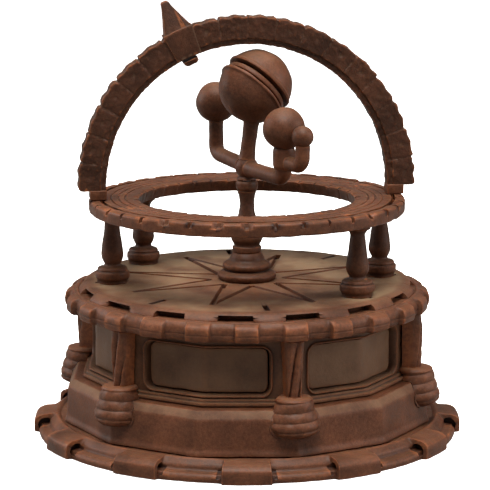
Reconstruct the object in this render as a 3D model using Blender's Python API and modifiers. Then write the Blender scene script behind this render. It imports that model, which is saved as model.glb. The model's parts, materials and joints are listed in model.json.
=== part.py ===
"""Astrolabe: a table-top armillary instrument, modelled as the pieces it comes apart into.

A toothed rim, a twelve-sided skirt and a drum are stacked on a base cover and clamped by one
tie rod, which also holds the column.  Four balusters carry the horizon ring.  An arch turns on
that ring, a pointer slides along the arch, and a model of the sun, two planets and a moon
turns on top of the column.

Sizes are in millimetres and become metres as each mesh is made.  Angles round the base are in
degrees from the front (-Y) towards +X.  The origin is the middle of the base, on the table.
"""
import math

import bmesh
import bpy
from mathutils import Matrix, Vector

MM = 0.001
GAP = 0.3                       # clearance between neighbouring pieces

# Base
SIDES = 12
CORNER_STEP = 360 / SIDES       # the skirt and the drum have a corner every 30 degrees
TOOTH_RADIUS = 75.0
RIM_RADIUS = 73.0
RIM_TOP = 6.0
RIM_TEETH = 12
RIM_TOOTH_HALF = 6.25
COVER_RADIUS = 62.7
SKIRT_FOOT_RADIUS = 65.4
SKIRT_RADIUS = 64.5
SKIRT_TOP_RADIUS = 61.8
SKIRT_TOP = 21.5
DRUM_RADIUS = 56.0
DRUM_TOP = 43.9
DRUM_INNER_RADIUS = 46.0

# Drum panels and brackets
PANELS = 6
PANEL_STEP = 360 / PANELS
POCKET_HALF = 23.0
POCKET_BOTTOM = 25.1
POCKET_TOP = 40.9
POCKET_FLOOR_RADIUS = 50.0
PANEL_RADIUS = 53.3
BULB_AXIS_RADIUS = 60.3
BULB_BOTTOM = 11.8
BULB_TOP = 25.5
STRAP_INNER_RADIUS = DRUM_RADIUS + 0.5
STRAP_OUTER_RADIUS = 63.0

# Cornice and deck
CORNICE_BOTTOM = DRUM_TOP + GAP
CORNICE_TOP = 50.5
CORNICE_TEETH = 24
CORNICE_TOOTH_HALF = 3.8
CORNICE_INNER_RADIUS = 44.0
DECK_TOP = 53.2
DECK_RADIUS = 57.0              # at its top; the edge slopes out to its foot
DECK_FOOT_RADIUS = 58.8
DECK_NOTCHES = 16               # windows in the edge of the deck, under its thin lid
DECK_NOTCH_HALF = 5.6
DECK_NOTCH_DEPTH = 3.0
DECK_LID = 0.8

# Balusters and horizon ring
BALUSTER_RADIUS = 47.0
BALUSTER_ANGLES = (67.5, 112.5, -112.5, -67.5)
RING_BOTTOM = 77.7
RING_TOP = 82.5
RING_INNER_RADIUS = 37.3
RING_OUTER_RADIUS = 54.9
GUIDE_RADIUS = 50.8             # middle of the T-shaped guide groove in the ring
GUIDE_NECK = 1.2
GUIDE_HEAD = 3.6
GUIDE_FLOOR = 79.2
GUIDE_SHOULDER = 81.0

# Arch and pointer
ARCH_CENTRE = 86.6
ARCH_YAW = 22.5                 # the arch stands over two opposite balusters
ARCH_INNER_RADIUS = 48.7
ARCH_RAIL_RADIUS = 51.5
ARCH_OUTER_RADIUS = 58.5
ARCH_BLOCKS = 18
ARCH_OVERHANG = 1.0             # degrees by which each end passes the horizontal
ARCH_HALF_WIDTH = 3.7
POINTER_ANGLE = 114.2
POINTER_HALF_ANGLE = 5.3
POINTER_TIP_RADIUS = 69.9

# Column
ROD_RADIUS = 1.5
BORE_RADIUS = ROD_RADIUS + GAP
SPINDLE_RADIUS = 1.1
COLUMN_BASE_TOP = 62.8
SHAFT_TOP = 84.3
CAPITAL_TOP = 88.1
HUB_CENTRE = 92.4
HUB_RADIUS = 4.2

# Sun, planets and moon
ORRERY_YAW = -48.0              # local +X is the near planet's arm
ARM_TUBE_RADIUS = 2.7
NEAR_ARM_HEIGHT = HUB_CENTRE
FAR_ARM_HEIGHT = 93.2
FAR_ARM_RISE = 1.0              # the far arm slopes up by this much on its way out
ELBOW_RADIUS = 3.5
PLANET_RADIUS = 7.3
NEAR_REACH = 27.5
NEAR_PLANET_HEIGHT = 109.6
FAR_REACH = 24.0
FAR_PLANET_HEIGHT = 112.5
SUN_RADIUS = 12.9
SUN_HEIGHT = 120.8
SUN_OFFSET = Vector((1.3, 2.7, 0.0))
SUN_AXIS = Vector((0.486, 0.544, 0.69))
SUN_SPLIT_HALF = 1.5            # half the gap between the two halves of the sun
SUN_DISC_RADIUS = 11.9
MOON_RADIUS = 3.7
MOON_REACH = 11.4
MOON_HEIGHT = 108.2
MOON_YAW = 5.0                  # of the moon's arm, from the near arm's direction
MOON_ARM_RADIUS = 2.3
MOON_ARM_HEIGHT = 98.1
COLLAR_RADIUS = 4.0
COLLAR_BOTTOM = 96.0            # the collar rests on the bend of the near arm
COLLAR_TOP = 102.4

COLORS = {
    "resin": ((0.075, 0.034, 0.022, 1.0), 0.55, 0.0),
    "resin_dark": ((0.045, 0.021, 0.015, 1.0), 0.6, 0.0),
    "brass": ((0.62, 0.42, 0.16, 1.0), 0.35, 1.0),
    "steel": ((0.5, 0.5, 0.52, 1.0), 0.35, 1.0),
}


# ---------------------------------------------------------------- scene and materials

def clear_scene():
    for obj in list(bpy.data.objects):
        bpy.data.objects.remove(obj, do_unlink=True)


def new_collection(name):
    collection = bpy.data.collections.new(name)
    bpy.context.scene.collection.children.link(collection)
    return collection


def new_material(name):
    color, roughness, metallic = COLORS[name]
    material = bpy.data.materials.new(name)
    material.use_nodes = True
    shader = material.node_tree.nodes["Principled BSDF"]
    shader.inputs["Base Color"].default_value = color
    shader.inputs["Roughness"].default_value = roughness
    shader.inputs["Metallic"].default_value = metallic
    material.diffuse_color = color
    return material


clear_scene()
PARTS = new_collection("astrolabe")
CUTTERS = new_collection("cutters")
MATERIALS = {name: new_material(name) for name in COLORS}


def add_object(name, mesh, material="resin", parent=None, matrix=None):
    """Put a mesh in the scene as one named piece, under its parent empty if it has one."""
    mesh.materials.clear()
    mesh.materials.append(MATERIALS[material])
    obj = bpy.data.objects.new(name, mesh)
    PARTS.objects.link(obj)
    obj.parent = parent
    if matrix is not None:
        obj.matrix_local = matrix
    return obj


def add_pivot(name, height, yaw=0.0, parent=None, offset=(0.0, 0.0)):
    """Empty on a joint's axis, which carries the pieces that turn with it."""
    pivot = bpy.data.objects.new(name, None)
    PARTS.objects.link(pivot)
    pivot.parent = parent
    pivot.location = Vector((offset[0], offset[1], height)) * MM
    pivot.rotation_euler = (0.0, 0.0, math.radians(yaw))
    return pivot


def make_cutter(obj):
    for collection in list(obj.users_collection):
        collection.objects.unlink(obj)
    CUTTERS.objects.link(obj)
    obj.hide_render = True
    obj.display_type = "WIRE"
    return obj


def combine(target, other, operation):
    """Cut a piece by a cutter, or join a lump to it, with an exact Boolean."""
    modifier = target.modifiers.new(operation.title(), "BOOLEAN")
    modifier.operation = operation
    modifier.solver = "EXACT"
    modifier.object = make_cutter(other)


# ---------------------------------------------------------------- shapes

def on_circle(radius, angle, height):
    turn = math.radians(angle)
    return Vector((radius * math.sin(turn), -radius * math.cos(turn), height))


def polygon_radius(corner_radius, angle):
    """Distance from the middle to the side of the twelve-sided outline at an angle."""
    from_middle = angle % CORNER_STEP - CORNER_STEP / 2
    apothem = corner_radius * math.cos(math.radians(CORNER_STEP / 2))
    return apothem / math.cos(math.radians(from_middle))


def loft(name, sections, material="resin", closed=False, parent=None, matrix=None):
    """Solid through a row of cross-sections, each a loop with the same number of points."""
    bm = bmesh.new()
    loops = [[bm.verts.new(Vector(point) * MM) for point in section] for section in sections]
    size = len(loops[0])
    pairs = list(zip(loops, loops[1:]))
    if closed:
        pairs.append((loops[-1], loops[0]))
    else:
        bm.faces.new(loops[0])
        bm.faces.new(loops[-1])
    for first, second in pairs:
        for i in range(size):
            j = (i + 1) % size
            bm.faces.new((first[i], first[j], second[j], second[i]))
    bmesh.ops.recalc_face_normals(bm, faces=bm.faces)
    mesh = bpy.data.meshes.new(name)
    bm.to_mesh(mesh)
    bm.free()
    return add_object(name, mesh, material, parent, matrix)


def ring_loft(name, stations):
    """Ring about the base's axis whose (radius, height) profile changes with the angle."""
    sections = [[on_circle(r, angle, z) for r, z in profile] for angle, profile in stations]
    return loft(name, sections, closed=True)


def arc_loft(name, stations, parent):
    """Curved bar in the arch's own frame; each station is an angle and (radius, side) points."""
    sections = []
    for angle, profile in stations:
        turn = math.radians(angle)
        sections.append([(r * math.cos(turn), side, r * math.sin(turn)) for r, side in profile])
    return loft(name, sections, parent=parent)


def turned(name, profile, material="resin", steps=20, closed=False, parent=None, matrix=None):
    """Solid turned about local Z.  The profile runs down the outer side, top to bottom."""
    points = [(r * MM, 0.0, z * MM) for r, z in profile]
    edges = [(i, i + 1) for i in range(len(points) - 1)]
    if closed:
        edges.append((len(points) - 1, 0))
    mesh = bpy.data.meshes.new(name)
    mesh.from_pydata(points, edges, [])
    obj = add_object(name, mesh, material, parent, matrix)
    screw = obj.modifiers.new("Turn", "SCREW")
    screw.steps = steps
    screw.render_steps = steps
    screw.use_merge_vertices = True
    screw.merge_threshold = 1e-6
    return obj


def cylinder(name, radius, bottom, top, steps=16, parent=None, centre=(0, 0)):
    bm = bmesh.new()
    bmesh.ops.create_cone(bm, cap_ends=True, segments=steps, radius1=radius * MM,
                          radius2=radius * MM, depth=(top - bottom) * MM)
    mesh = bpy.data.meshes.new(name)
    bm.to_mesh(mesh)
    bm.free()
    middle = Vector((centre[0], centre[1], (bottom + top) / 2)) * MM
    return add_object(name, mesh, parent=parent, matrix=Matrix.Translation(middle))


def ball(name, radius, centre, parent, steps=16):
    bm = bmesh.new()
    bmesh.ops.create_uvsphere(bm, u_segments=steps, v_segments=steps // 2 + 2,
                              radius=radius * MM)
    mesh = bpy.data.meshes.new(name)
    bm.to_mesh(mesh)
    bm.free()
    return add_object(name, mesh, parent=parent, matrix=Matrix.Translation(Vector(centre) * MM))


def block(name, size, centre, parent):
    bm = bmesh.new()
    bmesh.ops.create_cube(bm, size=MM)
    bmesh.ops.scale(bm, vec=size, verts=bm.verts)
    mesh = bpy.data.meshes.new(name)
    bm.to_mesh(mesh)
    bm.free()
    return add_object(name, mesh, parent=parent, matrix=Matrix.Translation(Vector(centre) * MM))


def tube(name, points, radius, parent):
    """Round bar along a line of points, as a mesh with welded caps."""
    curve = bpy.data.curves.new(name, "CURVE")
    curve.dimensions = "3D"
    curve.bevel_depth = radius * MM
    curve.bevel_resolution = 2
    curve.use_fill_caps = True
    spline = curve.splines.new("POLY")
    spline.points.add(len(points) - 1)
    for spot, point in zip(spline.points, points):
        spot.co = (*(Vector(point) * MM), 1.0)
    source = bpy.data.objects.new(name + "_route", curve)
    PARTS.objects.link(source)
    bpy.context.view_layer.update()
    mesh = bpy.data.meshes.new_from_object(source.evaluated_get(
        bpy.context.evaluated_depsgraph_get()))
    bpy.data.objects.remove(source)
    bm = bmesh.new()
    bm.from_mesh(mesh)
    bmesh.ops.remove_doubles(bm, verts=bm.verts, dist=1e-6)
    bmesh.ops.recalc_face_normals(bm, faces=bm.faces)
    bm.to_mesh(mesh)
    bm.free()
    return add_object(name, mesh, parent=parent)


def elbow_route(start, reach, height, end, bend_radius, rise=0.0, steps=5):
    """Points of an arm that runs out along X from start, turns up, and rises to end."""
    side = math.copysign(1.0, reach)
    points = [(start * side, 0.0, height)]
    for i in range(steps + 1):
        turn = math.radians(90 * i / steps)
        out = abs(reach) - bend_radius * (1 - math.sin(turn))
        points.append((out * side, 0.0, height + rise + bend_radius * (1 - math.cos(turn))))
    points.append((reach, 0.0, end))
    return points


# ---------------------------------------------------------------- base

def toothed_stations(teeth, first, half_width, tooth, gap, flank=0.4, max_step=9.0):
    """Stations of a ring whose teeth stand at even steps, with steep flanks."""
    stations = []

    def add_run(start, end, profile):
        count = max(1, math.ceil((end - start) / max_step))
        stations.extend((start + (end - start) * i / count, profile) for i in range(count + 1))

    pitch = 360 / teeth
    for i in range(teeth):
        middle = first + pitch * i
        add_run(middle - half_width, middle + half_width, tooth)
        add_run(middle + half_width + flank, middle + pitch - half_width - flank, gap)
    return stations


def build_rim():
    rebate = COVER_RADIUS + GAP
    common = [(66.9, RIM_TOP), (60.0, RIM_TOP), (60.0, 3.0), (rebate, 3.0), (rebate, 0.0)]
    tooth = [(TOOTH_RADIUS, 0.0), (TOOTH_RADIUS, 4.0), (72.8, RIM_TOP)] + common
    gap = [(RIM_RADIUS, 0.0), (RIM_RADIUS, 2.4), (69.6, 2.8)] + common
    ring_loft("base_rim", toothed_stations(RIM_TEETH, CORNER_STEP / 2, RIM_TOOTH_HALF, tooth, gap))


def build_cover():
    """Dished disc under the base; its boss hides the nut of the tie rod."""
    turned("base_cover", [
        (BORE_RADIUS, 6.6), (8.0, 6.6), (9.0, 2.7), (COVER_RADIUS, 2.7), (COVER_RADIUS, 0.4),
        (4.8, 0.4), (4.8, 3.9), (BORE_RADIUS, 3.9)], "resin_dark", steps=30, closed=True)


def build_skirt():
    profile = [
        (SKIRT_FOOT_RADIUS, RIM_TOP + GAP), (SKIRT_FOOT_RADIUS, 6.9), (SKIRT_RADIUS, 7.5),
        (63.9, 19.0), (SKIRT_TOP_RADIUS, SKIRT_TOP), (53.0, SKIRT_TOP), (53.0, 18.5),
        (60.0, 18.5), (60.0, RIM_TOP + GAP)]
    ring_loft("skirt", [(CORNER_STEP * i, profile) for i in range(SIDES)])


def drum_profile(angle, pocket):
    """Section of the drum wall, with or without the pocket that holds a panel."""
    def side(corner_radius):
        return polygon_radius(corner_radius, angle)
    floor = side(POCKET_FLOOR_RADIUS if pocket else DRUM_RADIUS)
    outer = side(DRUM_RADIUS)
    bottom = SKIRT_TOP + GAP
    return [
        (side(58.6), bottom), (side(58.6), 22.8), (side(57.3), 22.8), (side(57.3), 23.9),
        (outer, 23.9), (outer, POCKET_BOTTOM), (floor, POCKET_BOTTOM + 0.3),
        (floor, POCKET_TOP - 0.3), (outer, POCKET_TOP), (outer, DRUM_TOP),
        (side(DRUM_INNER_RADIUS), DRUM_TOP), (side(DRUM_INNER_RADIUS), bottom)]


def build_drum():
    stations = []
    flank = 0.1
    for i in range(PANELS):
        middle = PANEL_STEP * i
        plan = ((-PANEL_STEP / 2, False), (-POCKET_HALF - flank, False), (-POCKET_HALF, True),
                (0.0, True), (POCKET_HALF, True), (POCKET_HALF + flank, False))
        for offset, pocket in plan:
            stations.append((middle + offset, drum_profile(middle + offset, pocket)))
    ring_loft("drum_wall", stations)


def build_panels():
    """Bent plates, one in each pocket of the drum wall."""
    half = POCKET_HALF - 0.4
    for i in range(PANELS):
        sections = []
        for offset in (-half, 0.0, half):
            angle = PANEL_STEP * i + offset
            inner = polygon_radius(POCKET_FLOOR_RADIUS + 0.4, angle)
            outer = polygon_radius(PANEL_RADIUS, angle)
            low = POCKET_BOTTOM + 0.6
            high = POCKET_TOP - 0.6
            sections.append([on_circle(outer, angle, low), on_circle(outer, angle, high),
                             on_circle(inner, angle, high), on_circle(inner, angle, low)])
        loft(f"drum_panel_{i + 1}", sections, "resin_dark")


def base_clearance():
    """Outline of the skirt and drum, grown by the gap, which the brackets are fitted to."""
    levels = [(5.0, SKIRT_FOOT_RADIUS), (7.5, SKIRT_RADIUS), (19.0, 63.9),
              (SKIRT_TOP, SKIRT_TOP_RADIUS), (SKIRT_TOP + 0.1, 58.6), (22.8, 58.6),
              (23.9, 57.3), (24.0, DRUM_RADIUS), (46.0, DRUM_RADIUS)]
    sections = []
    for height, radius in levels:
        corners = range(SIDES)
        sections.append([on_circle(radius + GAP, CORNER_STEP * k, height) for k in corners])
    return loft("base_clearance", sections)


def build_brackets():
    """Six ribbed bulbs on the skirt, each with the strap that hangs down to it."""
    envelope = [(6.0, 12.4), (8.8, 15.0), (8.4, 18.3), (7.8, 21.6), (6.8, 24.7)]
    profile = [(0.0, BULB_TOP), (4.6, BULB_TOP)]
    ribs = list(zip(envelope[:0:-1], envelope[-2::-1]))
    for (radius, height), (next_radius, next_height) in ribs:
        profile.append((radius, height))
        profile.append(((radius + next_radius) / 2 - 0.6, (height + next_height) / 2))
    profile += [envelope[0], (3.0, BULB_BOTTOM), (0.0, BULB_BOTTOM)]
    clearance = base_clearance()
    for i in range(PANELS):
        angle = PANEL_STEP * (i + 0.5)
        turn = Matrix.Rotation(math.radians(angle), 4, "Z")
        shift = Matrix.Translation(Vector((0.0, -BULB_AXIS_RADIUS, 0.0)) * MM)
        bulb = turned(f"bracket_bulb_{i + 1}", profile, steps=16, matrix=turn @ shift)
        combine(bulb, clearance, "DIFFERENCE")
        build_strap(f"bracket_strap_{i + 1}", turn)


def build_strap(name, turn):
    """Upright strap with a rounded front, slightly narrower at its foot."""
    sections = []
    levels = ((BULB_TOP + GAP, 2.9), (30.0, 2.6), (37.0, 3.1), (DRUM_TOP, 3.6))
    for height, half in levels:
        plan = ((-half, STRAP_INNER_RADIUS), (-half, STRAP_OUTER_RADIUS - 1.4),
                (-0.6 * half, STRAP_OUTER_RADIUS), (0.6 * half, STRAP_OUTER_RADIUS),
                (half, STRAP_OUTER_RADIUS - 1.4), (half, STRAP_INNER_RADIUS))
        sections.append([(x, -y, height) for x, y in plan])
    loft(name, sections, matrix=turn)


def build_cornice():
    top = [(60.9, CORNICE_TOP), (CORNICE_INNER_RADIUS, CORNICE_TOP),
           (CORNICE_INNER_RADIUS, CORNICE_BOTTOM)]
    tooth = [(61.8, CORNICE_BOTTOM), (63.8, 45.6), (63.8, 47.9), (61.9, 49.2)]
    gap = [(60.2, CORNICE_BOTTOM), (61.5, 46.0), (61.5, 48.0), (61.0, 49.2)]
    ring_loft("cornice", toothed_stations(CORNICE_TEETH, 0.0, CORNICE_TOOTH_HALF,
                                          tooth + top, gap + top))


def build_deck():
    """Top plate with windows in its edge, bored for the tie rod and the balusters' feet."""
    bottom = CORNICE_TOP + GAP
    inner = [(BORE_RADIUS, DECK_TOP), (BORE_RADIUS, bottom)]
    notch_radius = DECK_RADIUS - DECK_NOTCH_DEPTH
    lid_bottom = DECK_TOP - DECK_LID
    edge = [(DECK_FOOT_RADIUS, bottom), (DECK_FOOT_RADIUS - 0.4, bottom + 0.8),
            (DECK_RADIUS + 0.3, lid_bottom + 0.2), (DECK_RADIUS, DECK_TOP)] + inner
    notch = [(notch_radius, bottom), (notch_radius, lid_bottom), (DECK_RADIUS, lid_bottom),
             (DECK_RADIUS, DECK_TOP)] + inner
    first = 180 / DECK_NOTCHES
    deck = ring_loft("deck_plate", toothed_stations(DECK_NOTCHES, first, DECK_NOTCH_HALF,
                                                    notch, edge, max_step=12.0))
    for i, angle in enumerate(BALUSTER_ANGLES):
        centre = on_circle(BALUSTER_RADIUS, angle, 0.0)
        hole = cylinder(f"deck_hole_{i + 1}", 2.0, bottom - 1, DECK_TOP + 1, centre=centre[:2])
        combine(deck, hole, "DIFFERENCE")


# ---------------------------------------------------------------- balusters, ring and column

def build_balusters():
    """Four turned posts with a spigot at each end."""
    foot = DECK_TOP + GAP
    head = RING_BOTTOM - GAP
    profile = [
        (0.0, head + 1.8), (1.4, head + 1.8), (1.4, head), (4.4, head), (4.4, head - 1.4),
        (2.8, head - 2.6), (4.0, head - 14.0), (3.3, foot + 7.5), (5.9, foot + 4.6),
        (5.9, foot), (1.7, foot), (1.7, foot - 2.2), (0.0, foot - 2.2)]
    for i, angle in enumerate(BALUSTER_ANGLES):
        place = Matrix.Translation(on_circle(BALUSTER_RADIUS, angle, 0.0) * MM)
        turned(f"baluster_{i + 1}", profile, steps=14, matrix=place)


def build_horizon_ring():
    """Flat ring with a T-shaped guide groove for the arch and steps down to its inner edge."""
    neck = GUIDE_NECK / 2
    head = GUIDE_HEAD / 2
    ring = turned("horizon_ring", [
        (GUIDE_RADIUS + neck, RING_TOP), (54.3, RING_TOP), (RING_OUTER_RADIUS, RING_TOP - 0.6),
        (RING_OUTER_RADIUS, RING_BOTTOM), (RING_INNER_RADIUS, RING_BOTTOM),
        (RING_INNER_RADIUS, 81.8), (43.8, 82.1), (43.8, RING_TOP),
        (GUIDE_RADIUS - neck, RING_TOP), (GUIDE_RADIUS - neck, GUIDE_SHOULDER),
        (GUIDE_RADIUS - head, GUIDE_SHOULDER), (GUIDE_RADIUS - head, GUIDE_FLOOR),
        (GUIDE_RADIUS + head, GUIDE_FLOOR), (GUIDE_RADIUS + head, GUIDE_SHOULDER),
        (GUIDE_RADIUS + neck, GUIDE_SHOULDER)], steps=40, closed=True)
    for i, angle in enumerate(BALUSTER_ANGLES):
        centre = on_circle(BALUSTER_RADIUS, angle, 0.0)
        hole = cylinder(f"ring_hole_{i + 1}", 1.7, RING_BOTTOM - 1, RING_BOTTOM + 1.9,
                        centre=centre[:2])
        combine(ring, hole, "DIFFERENCE")


def build_column():
    foot = DECK_TOP + GAP
    steps = 16
    turned("column_base", [
        (BORE_RADIUS, COLUMN_BASE_TOP), (4.9, COLUMN_BASE_TOP), (5.8, 61.2), (6.0, 60.3),
        (7.6, 59.6), (8.6, 58.3), (7.8, 57.0), (7.4, 56.4), (9.4, 56.0), (10.2, 55.0),
        (10.2, foot), (BORE_RADIUS, foot)], steps=steps, closed=True)
    turned("column_shaft", [
        (BORE_RADIUS, SHAFT_TOP), (3.4, SHAFT_TOP), (2.7, 82.0), (2.5, 80.0), (2.9, 77.0),
        (4.2, 72.4), (5.3, 69.4), (5.6, 67.8), (5.1, 66.2), (4.4, 65.4), (5.0, 64.6),
        (5.0, COLUMN_BASE_TOP + GAP), (BORE_RADIUS, COLUMN_BASE_TOP + GAP)], steps=steps,
        closed=True)
    turned("column_capital", [
        (BORE_RADIUS, CAPITAL_TOP), (3.3, CAPITAL_TOP), (3.85, 87.4), (3.85, 85.6),
        (3.4, SHAFT_TOP + GAP), (BORE_RADIUS, SHAFT_TOP + GAP)], steps=steps, closed=True)
    turned("tie_rod", [
        (0.0, HUB_CENTRE - 0.2), (SPINDLE_RADIUS, HUB_CENTRE - 0.2),
        (SPINDLE_RADIUS, CAPITAL_TOP - 0.2), (ROD_RADIUS, CAPITAL_TOP - 0.2), (ROD_RADIUS, 0.6),
        (0.0, 0.6)], "steel", steps=12)
    turned("rod_washer", [
        (BORE_RADIUS, 3.6), (4.2, 3.6), (4.2, 2.9), (BORE_RADIUS, 2.9)], "steel", steps=steps,
        closed=True)
    turned("rod_nut", [
        (BORE_RADIUS, 2.6), (3.6, 2.6), (3.6, 0.8), (BORE_RADIUS, 0.8)], "steel", steps=6,
        closed=True)
    turned("thrust_washer", [
        (SPINDLE_RADIUS + GAP, 88.9), (3.1, 88.9), (3.1, 88.4), (SPINDLE_RADIUS + GAP, 88.4)],
        "resin_dark", steps=16, closed=True)


# ---------------------------------------------------------------- arch and pointer

def build_arch(pivot):
    """Half-circle of blocks on a narrower inner rail, made in the pivot's own frame."""
    block_angle = (180 + 2 * ARCH_OVERHANG) / ARCH_BLOCKS
    rail_half = ARCH_HALF_WIDTH - 0.7
    joint_depth = 1.2
    stations = []

    def add_station(angle, drop):
        outer = ARCH_OUTER_RADIUS - drop
        stations.append((angle, [
            (ARCH_INNER_RADIUS, -rail_half), (ARCH_RAIL_RADIUS, -rail_half),
            (ARCH_RAIL_RADIUS, -ARCH_HALF_WIDTH), (outer, -ARCH_HALF_WIDTH),
            (outer, ARCH_HALF_WIDTH), (ARCH_RAIL_RADIUS, ARCH_HALF_WIDTH),
            (ARCH_RAIL_RADIUS, rail_half), (ARCH_INNER_RADIUS, rail_half)]))

    for i in range(ARCH_BLOCKS):
        start = -ARCH_OVERHANG + block_angle * i
        add_station(start, joint_depth)
        add_station(start + 0.2 * block_angle, 0.0)
        add_station(start + 0.8 * block_angle, 0.0)
    add_station(180 + ARCH_OVERHANG, joint_depth)
    arc_loft("arch", stations, pivot)


def build_arch_feet(pivot):
    """Block under each end of the arch, with a T-shaped shoe that rides in the ring's groove."""
    bottom = RING_TOP + GAP - ARCH_CENTRE
    top = -ARCH_OVERHANG - GAP
    size = (5.9, 6.8, top - bottom)
    neck = GUIDE_NECK / 2 - GAP
    head = GUIDE_HEAD / 2 - GAP
    low = GUIDE_FLOOR + GAP - ARCH_CENTRE
    shoulder = GUIDE_SHOULDER - GAP - ARCH_CENTRE
    profile = [(-head, low), (head, low), (head, shoulder), (neck, shoulder),
               (neck, bottom - GAP), (-neck, bottom - GAP), (-neck, shoulder), (-head, shoulder)]
    for number, side in ((1, 1.0), (2, -1.0)):
        block(f"arch_foot_{number}", size, (51.95 * side, 0.0, (top + bottom) / 2), pivot)
        sections = []
        for angle in (-3.5, 0.0, 3.5):
            turn = math.radians(angle)
            sections.append([((GUIDE_RADIUS + r) * math.cos(turn) * side,
                              (GUIDE_RADIUS + r) * math.sin(turn), z) for r, z in profile])
        loft(f"arch_shoe_{number}", sections, "resin_dark", parent=pivot)


def build_pointer(pivot):
    """Fin on a saddle that straddles the arch, with a clamp bar under the arch."""
    inner_half = ARCH_HALF_WIDTH + GAP
    outer_half = inner_half + 0.7
    seat = ARCH_OUTER_RADIUS + GAP
    crown = seat + 0.9
    cheek_end = ARCH_INNER_RADIUS + 0.2
    profile = [
        (cheek_end, -outer_half), (crown, -outer_half), (crown, outer_half),
        (cheek_end, outer_half), (cheek_end, inner_half), (seat, inner_half),
        (seat, -inner_half), (cheek_end, -inner_half)]
    steps = 4
    angles = [POINTER_ANGLE + POINTER_HALF_ANGLE * (2 * i / steps - 1) for i in range(steps + 1)]
    pointer = arc_loft("pointer", [(angle, profile) for angle in angles], pivot)
    combine(pointer, build_fin(pivot), "UNION")
    bar_radius = 45.4
    bar = [(bar_radius, -outer_half), (ARCH_INNER_RADIUS - GAP, -outer_half),
           (ARCH_INNER_RADIUS - GAP, outer_half), (bar_radius, outer_half)]
    angles = [POINTER_ANGLE - 3.2, POINTER_ANGLE, POINTER_ANGLE + 3.2]
    arc_loft("pointer_clamp", [(angle, bar) for angle in angles], pivot)


def build_fin(pivot):
    """Fin with one steep and one slanted edge, rising to a small round tip."""
    root = ARCH_OUTER_RADIUS + GAP + 0.4
    tip = POINTER_TIP_RADIUS
    tip_radius = 1.7
    outline = [(4.9, root), (-5.2, root)]
    for i in range(5):
        turn = math.radians(205 - 45 * i)
        outline.append((tip_radius * math.cos(turn),
                        tip - tip_radius + tip_radius * math.sin(turn)))
    turn = math.radians(POINTER_ANGLE)
    outward = Vector((math.cos(turn), 0.0, math.sin(turn)))
    along = Vector((-math.sin(turn), 0.0, math.cos(turn)))
    sections = []
    for side in (-1.7, 1.7):
        edge = Vector((0.0, side, 0.0))
        sections.append([along * x + outward * y + edge for x, y in outline])
    return loft("pointer_fin", sections, parent=pivot)


# ---------------------------------------------------------------- sun, planets and moon

def build_orrery(pivot):
    hub_bottom = 89.2
    profile = [(0.0, HUB_CENTRE + HUB_RADIUS)]
    for i in range(1, 6):
        turn = math.radians(25 * i)
        profile.append((HUB_RADIUS * math.sin(turn), HUB_CENTRE + HUB_RADIUS * math.cos(turn)))
    bore = SPINDLE_RADIUS + GAP
    profile += [(2.9, hub_bottom), (bore, hub_bottom), (bore, HUB_CENTRE + 0.1),
                (0.0, HUB_CENTRE + 0.1)]
    turned("orrery_hub", profile, steps=16, parent=pivot)
    start = HUB_RADIUS + GAP
    clearance = PLANET_RADIUS + GAP
    tube("near_arm", elbow_route(start, NEAR_REACH, NEAR_ARM_HEIGHT,
                                 NEAR_PLANET_HEIGHT - clearance, ELBOW_RADIUS),
         ARM_TUBE_RADIUS, pivot)
    tube("far_arm", elbow_route(start, -FAR_REACH, FAR_ARM_HEIGHT, FAR_PLANET_HEIGHT - clearance,
                                ELBOW_RADIUS, FAR_ARM_RISE), ARM_TUBE_RADIUS, pivot)
    ball("near_planet", PLANET_RADIUS, (NEAR_REACH, 0.0, NEAR_PLANET_HEIGHT), pivot)
    ball("far_planet", PLANET_RADIUS, (-FAR_REACH, 0.0, FAR_PLANET_HEIGHT), pivot)
    build_sun(pivot)


def build_sun(pivot):
    """Two half-balls on either side of a smaller disc, threaded on one pin."""
    centre = SUN_OFFSET + Vector((0.0, 0.0, SUN_HEIGHT))
    foot = Vector((0.0, 0.0, HUB_CENTRE + HUB_RADIUS + GAP))
    lean = (centre - foot).normalized()
    stem_end = centre - lean * (SUN_RADIUS + GAP)
    tube("sun_stem", [foot, (foot + stem_end) / 2, stem_end], ARM_TUBE_RADIUS, pivot)
    axis = Matrix.Rotation(-math.radians(ORRERY_YAW), 3, "Z") @ SUN_AXIS.normalized()
    tilt = axis.to_track_quat("Z", "Y").to_matrix().to_4x4()
    place = Matrix.Translation(centre * MM) @ tilt
    flip = place @ Matrix.Rotation(math.pi, 4, "X")
    pin_radius = 1.2
    pin_end = 6.0
    edge = math.asin(SUN_SPLIT_HALF / SUN_RADIUS)
    steps = 6
    half_ball = [(0.0, SUN_RADIUS)]
    for i in range(1, steps + 1):
        turn = (math.pi / 2 - edge) * i / steps
        half_ball.append((SUN_RADIUS * math.sin(turn), SUN_RADIUS * math.cos(turn)))
    bore = pin_radius + GAP
    half_ball += [(bore, SUN_SPLIT_HALF), (bore, pin_end + GAP), (0.0, pin_end + GAP)]
    turned("sun_upper", half_ball, parent=pivot, matrix=place)
    turned("sun_lower", half_ball, parent=pivot, matrix=flip)
    disc_half = SUN_SPLIT_HALF - GAP
    turned("sun_disc", [
        (bore, disc_half), (SUN_DISC_RADIUS, disc_half), (SUN_DISC_RADIUS, -disc_half),
        (bore, -disc_half)], "resin_dark", closed=True, parent=pivot, matrix=place)
    turned("sun_pin", [
        (0.0, pin_end), (pin_radius, pin_end), (pin_radius, -pin_end), (0.0, -pin_end)],
        "brass", steps=12, parent=pivot, matrix=place)


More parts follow.
